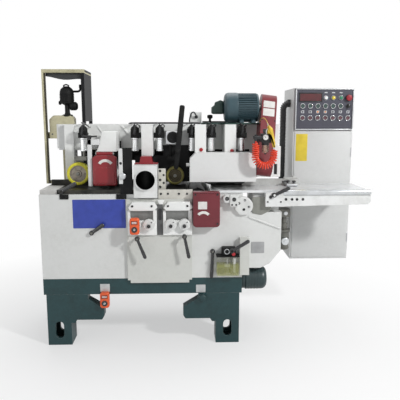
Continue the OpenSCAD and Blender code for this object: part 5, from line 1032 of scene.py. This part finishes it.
# Table jack under the infeed table: a grey tube with a flange, bolted to the bracket's end
JACK_X, JACK_Y = 788, -150
jack = [(0, 0), (24, 0), (30, 6), (30, 98), (36, 102), (36, 116), (20, 120), (20, 150), (0, 150)]
jack = [turned(jack, (JACK_X, JACK_Y, 505), UP, 48), rounded_box((749, -178, 520), (764, -122, 600), 3),
        rod((JACK_X, JACK_Y, 650), (JACK_X, JACK_Y, 700), 14, 2),
        rounded_box((749, -184, 692), (816, -116, 742), 6)]
piece("table_jack", jack, "bed", CAST_STEEL, 40.0)
grip = [rod((JACK_X, -206, 560), (JACK_X, -178, 560), 22, 5), rod((JACK_X, -214, 560), (JACK_X, -204, 560), 9, 2),
        turned(dome(12, 0, 16, 5), (JACK_X, -184, 718), OUT, 32)]
piece("table_jack_grip", grip, "bed", CHROME, 40.0)

# Beam: stiffening ribs on its face, red plugs on the pillars, a dark sheet behind the cylinders, painted shade for
# the gaps seen between them

def rib(a, b, w, y0, y1):
    """Flat bar of width w between two points of the XZ plane."""
    a, b = np.asarray(a, float), np.asarray(b, float)
    n = unit(np.array([-(b - a)[1], (b - a)[0]])) * w / 2
    return slab([a - n, b - n, b + n, a + n], (y0, y1), 1.5)


ribs = [rib((x0, 1198), (x1, z), 9, y, 21)
        for x0, x1, z, y in ((-272, -232, 1140, 17), (-134, -95, 1150, 14), (-60, -24, 1128, 14))]
piece("beam_ribs", ribs, "beam", LIT_WHITE)
plugs = [turned(dome(10, 0, 6, 3), (x, -150, z), OUT, 28) for x, z in ((320, 1068), (490, 1062))]
piece("pillar_plugs", plugs, "beam", RED_PLASTIC, 40.0)
sheets = [rounded_box((x0, 110, 990), (x1, 119, 1064), 1.5) for x0, x1 in ((-112, 698), (-386, -282))]
piece("beam_painted_shade_sheet", sheets, "beam", BLACK_IRON_AND_SHADE)

# Rear frame: cream housing of the gear pedestal with its bolts, the carrier's lid, and the valance under the roof
housing = [(-596, 1128), (-446, 1128), (-446, 1238), (-466, 1256), (-570, 1256), (-596, 1232)]
housing = slab(round_corners(housing, [6, 6, 14, 10, 22, 16]), (224, 300), 6)
piece("gear_housing", housing, "bed", CREAM_FRAME, 40.0)
piece("gear_housing_bolts", [hex_bolt((x, 224, 1142), OUT, 6, 5) for x in (-578, -464)], "bed", CAST_STEEL)
carrier = [rounded_box((-484, -42, 1072), (-442, -39, 1202), 1),
           rounded_box((-478, -43.5, 1062), (-448, -38, 1078), 1)]
piece("carrier_lid", carrier, "beam", WHITE_SHEET)
LEFT, RIGHT = -603, -391
x = np.linspace(LEFT, RIGHT, 9)
share = (x - LEFT) / (RIGHT - LEFT)
lower = np.stack([x, 1482 - 16 * share + 6 * np.cos(share * np.pi * 2)], -1)
valance = np.concatenate([lower, [[RIGHT, 1509], [LEFT, 1509]]])
piece("frame_valance", slab(valance, (221, 224), 0.6), "bed", SMOKED)

# Infeed table's rolled front edge, the black brackets of the outfeed table, and small blank plates on the plinth
edge = [(-250, 857.5), (-266, 857.5), (-271, 855), (-273.5, 850), (-274, 844), (-273.5, 838), (-271, 833),
        (-266, 830.5), (-250, 830.5)]
piece("infeed_table_edge", slab(edge, (757, 1233), 1.0, "x"), "infeed_table", CHROME, 50.0)
apron = [rounded_box((x0, -274, 815), (x1, -269.5, 842), 1.5) for x0, x1 in ((-431, -384), (-134, -80))]
apron += [hex_bolt((x, -274, 827), OUT, 7, 5) for x in (-420, -396, -122, -96)]
piece("table_apron", apron, "bed", BLACK_IRON_AND_SHADE)
plates = [slab(rectangle((x, x + 52), (z, z + 44), 2), (-271.2, BED_Y), 0.4) for x, z in ((-234, 304), (288, 294))]
piece("plinth_plates", plates, "bed", PALE_PLASTIC)

# Belt guard: two blank plates and a row of screws on its leaning front face

def on_belt_guard(shapes):
    """From the guard's own frame (across, out, up) to the part's: tilted back about X by the belt, then leaned
    about Y."""
    points, faces = together(*shapes)
    tilt, slant = math.atan2(145.0, 312.0), math.radians(7.0)
    across, out, up = points.T
    back, high = out * math.cos(tilt) + up * math.sin(tilt), up * math.cos(tilt) - out * math.sin(tilt)
    x = 663.5 + across * math.cos(slant) + high * math.sin(slant)
    return np.stack([x, -165 + back, 985 + high * math.cos(slant) - across * math.sin(slant)], -1), faces


plates = [slab(rectangle((-33, 31), (v, v + h), 2), (-62.7, -61.9), 0.25) for v, h in ((266, 45), (317, 40))]
piece("belt_guard_plates", on_belt_guard(plates), "beam", WHITE_FILM)
screws = [socket_screw((w, -62, v), OUT, 4, 2.5) for w in (-36, 36) for v in (12, 130, 240)]
piece("belt_guard_screws", on_belt_guard(screws), "beam", BLACK_PHENOLIC)

# Block on the beam beside the motor: its air port with a line that turns down into the beam
line = [(300, 56, 1246), (300, 44, 1246), (296, 40, 1258), (286, 40, 1272), (272, 40, 1268), (262, 40, 1240),
        (258, 40, 1204)]
port = [tube(curve_through(line, 40), 4, 10), rod((300, 62, 1246), (300, 52, 1246), 10, 2, 24)]
piece("block_line", port, "beam", BLACK_PLASTIC, 40.0)
piece("end_plate_slot", rounded_box((740, -40, 914), (764, -36, 984), 1), "beam", BLACK_PLASTIC)

# Fence: its foot on the table and two screw knobs; the guard post's knob; the motor's rail and screw on the beam
piece("fence_foot", rounded_box((806, -112, 857), (872, -40.5, 872), 4), "guide_fence", ALUMINIUM, 40.0)
knob = [(0, 0), (6, 0), (6, 4), (11, 6), (12, 8), (12, 14), (9, 16), (0, 17)]
knobs = [turned(knob, at, UP, 32) for at in ((854, -80, 871), (822, -62, 871))]
knobs += [rod((822, -62, 884), (788, -74, 879), 5, 2, 20)]
piece("fence_knobs", knobs, "guide_fence", BLACK_PHENOLIC, 35.0)
piece("post_knob", turned(dome(17, 0, 14, 5), (-98, -262, 936), OUT, 36), "bed", ALUMINIUM, 35.0)
rail = [rounded_box((336, y, 1204), (478, y + 22, 1222), 2) for y in (44, 74)]
cap = [(0, 0), (9, 0), (15, 3), (16, 8), (16, 18), (12, 22), (0, 23)]
rail += [rod((380, 70, 1204), (380, 70, 1244), 7, 1, 20), turned(cap, (380, 70, 1236), UP, 32)]
piece("motor_rail", rail, "beam", BLACK_IRON_AND_SHADE, 35.0)

# Back and end: screwed covers over the drives in the bed, with pressed louvres, and a cover on the beam's back

def cover(x, z, y, thick, count):
    """Screwed cover on a face that looks along +Y: a rounded plate, its bolts evenly along the long edges."""
    bolts = [hex_bolt((px, y + thick, pz), BACK, 6, 5)
             for px in np.linspace(x[0] + 18, x[1] - 18, count) for pz in (z[0] + 18, z[1] - 18)]
    return slab(rectangle(x, z, 14), (y, y + thick), 1.2), together(*bolts)


plates, bolts = zip(*[cover(x, (470, 770), 270, 4, 4) for x in ((-440, -90), (60, 430))])
vents = louvres(range(140, 350, 28), 14, (560, 690), (273, 279), 2)
piece("rear_covers", [*plates, *vents], "bed", WHITE_SHEET)
piece("rear_cover_bolts", list(bolts), "bed", CAST_STEEL)
plate, bolts = cover((-180, 420), (1084, 1182), 120, 3, 5)
piece("beam_rear_cover", plate, "beam", WHITE_SHEET)
piece("beam_rear_bolts", bolts, "beam", CAST_STEEL)
piece("end_cover", slab(rectangle((-170, 170), (480, 770), 14), (-544, -540), 1.2, "x"), "bed", WHITE_SHEET)
bolts = [hex_bolt((-544, y, z), (-1, 0, 0), 6, 5) for y in (-150, 0, 150) for z in (498, 752)]
piece("end_cover_bolts", bolts, "bed", CAST_STEEL)
vents = [rounded_box((-546, -90, z), (-543.5, 90, z + 7), 1.2) for z in range(560, 700, 20)]
piece("end_cover_louvres", vents, "bed", WHITE_SHEET)
vents = louvres(range(100, 300, 24), 12, (520, 680), (1223.5, 1229), 1.6, "x")
piece("cabinet_side_louvres", vents, "bed", SHADED_CABINET_WHITE)

# Studio: a pale floor that keeps the shadow, a white background, and three soft lamps at a plain level

def lamp(name, place, aim, size, power):
    """Square soft box at place, mm, turned so that its -Z looks at aim."""
    data = bpy.data.lights.new(name, "AREA")
    data.shape, data.size, data.energy = "SQUARE", size / MM, power
    made = bpy.data.objects.new(name, data)
    made.location = [c / MM for c in place]
    way = mathutils.Vector([b - a for a, b in zip(place, aim)])
    made.rotation_euler = way.to_track_quat("-Z", "Y").to_euler()
    scene.collection.objects.link(made)


def seen_rays(tree):
    """1 for the rays that the eye, a shine or a clear wall looks along, else 0."""
    path = add(tree, "LightPath").outputs
    direct = add(tree, "Math", [path["Is Camera Ray"], path["Is Glossy Ray"]], operation="MAXIMUM")
    return add(tree, "Math", [direct, path["Is Transmission Ray"]], operation="MAXIMUM")


lamp("key", (3350, -3000, 3150), (200, 0, 800), 400, 140.0)
lamp("fill", (-3000, -2800, 1700), (100, 0, 750), 2600, 20.0)
lamp("top", (0, 1000, 3800), (200, 0, 900), 2600, 50.0)

world = bpy.data.worlds.new("studio")
scene.world = world
world.use_nodes = True
tree = world.node_tree
tree.nodes.clear()
soft = add(tree, "Background", {"Color": rgb("#F2F4F6"), "Strength": 0.36})
white_ground = add(tree, "Background", {"Color": rgb("#FFFFFF"), "Strength": 1.0})
add(tree, "OutputWorld", {"Surface": add(tree, "MixShader", [seen_rays(tree), soft, white_ground])})

FLOOR, FLOOR_Z = 30.0, -0.0005  # half the floor's side and its height, in metres
floor_mesh = bpy.data.meshes.new("floor")
corners = [(x * FLOOR, y * FLOOR, FLOOR_Z) for x, y in ((-1, -1), (1, -1), (1, 1), (-1, 1))]
floor_mesh.from_pydata(corners, [], [(0, 1, 2, 3)])
floor = bpy.data.objects.new("floor", floor_mesh)
scene.collection.objects.link(floor)
# Pale floor: matt near the object, where it takes the shadow, and plain white to the eye further out
floor_paint, tree, place = started("painted_concrete_pale")
dust = add(tree, "TexNoise", {"Vector": place, "Scale": per_mm(400), "Detail": 4.0})
shade = add(tree, "MapRange", [dust, 0.0, 1.0, 0.84, 0.88])
matt = add(tree, "BsdfPrincipled", {"Base Color": shade, "Roughness": 0.8})
away = add(tree, "VectorMath", [place], operation="LENGTH").outputs["Value"]
fade = add(tree, "MapRange", [away, 0.6, 2.0, 0.5, 1.0])
part = add(tree, "Math", [seen_rays(tree), fade], operation="MULTIPLY")
glow = add(tree, "Emission", {"Color": rgb("#FFFFFF"), "Strength": 1.0})
add(tree, "OutputMaterial", {"Surface": add(tree, "MixShader", [part, matt, glow])})
floor_mesh.materials.append(floor_paint)
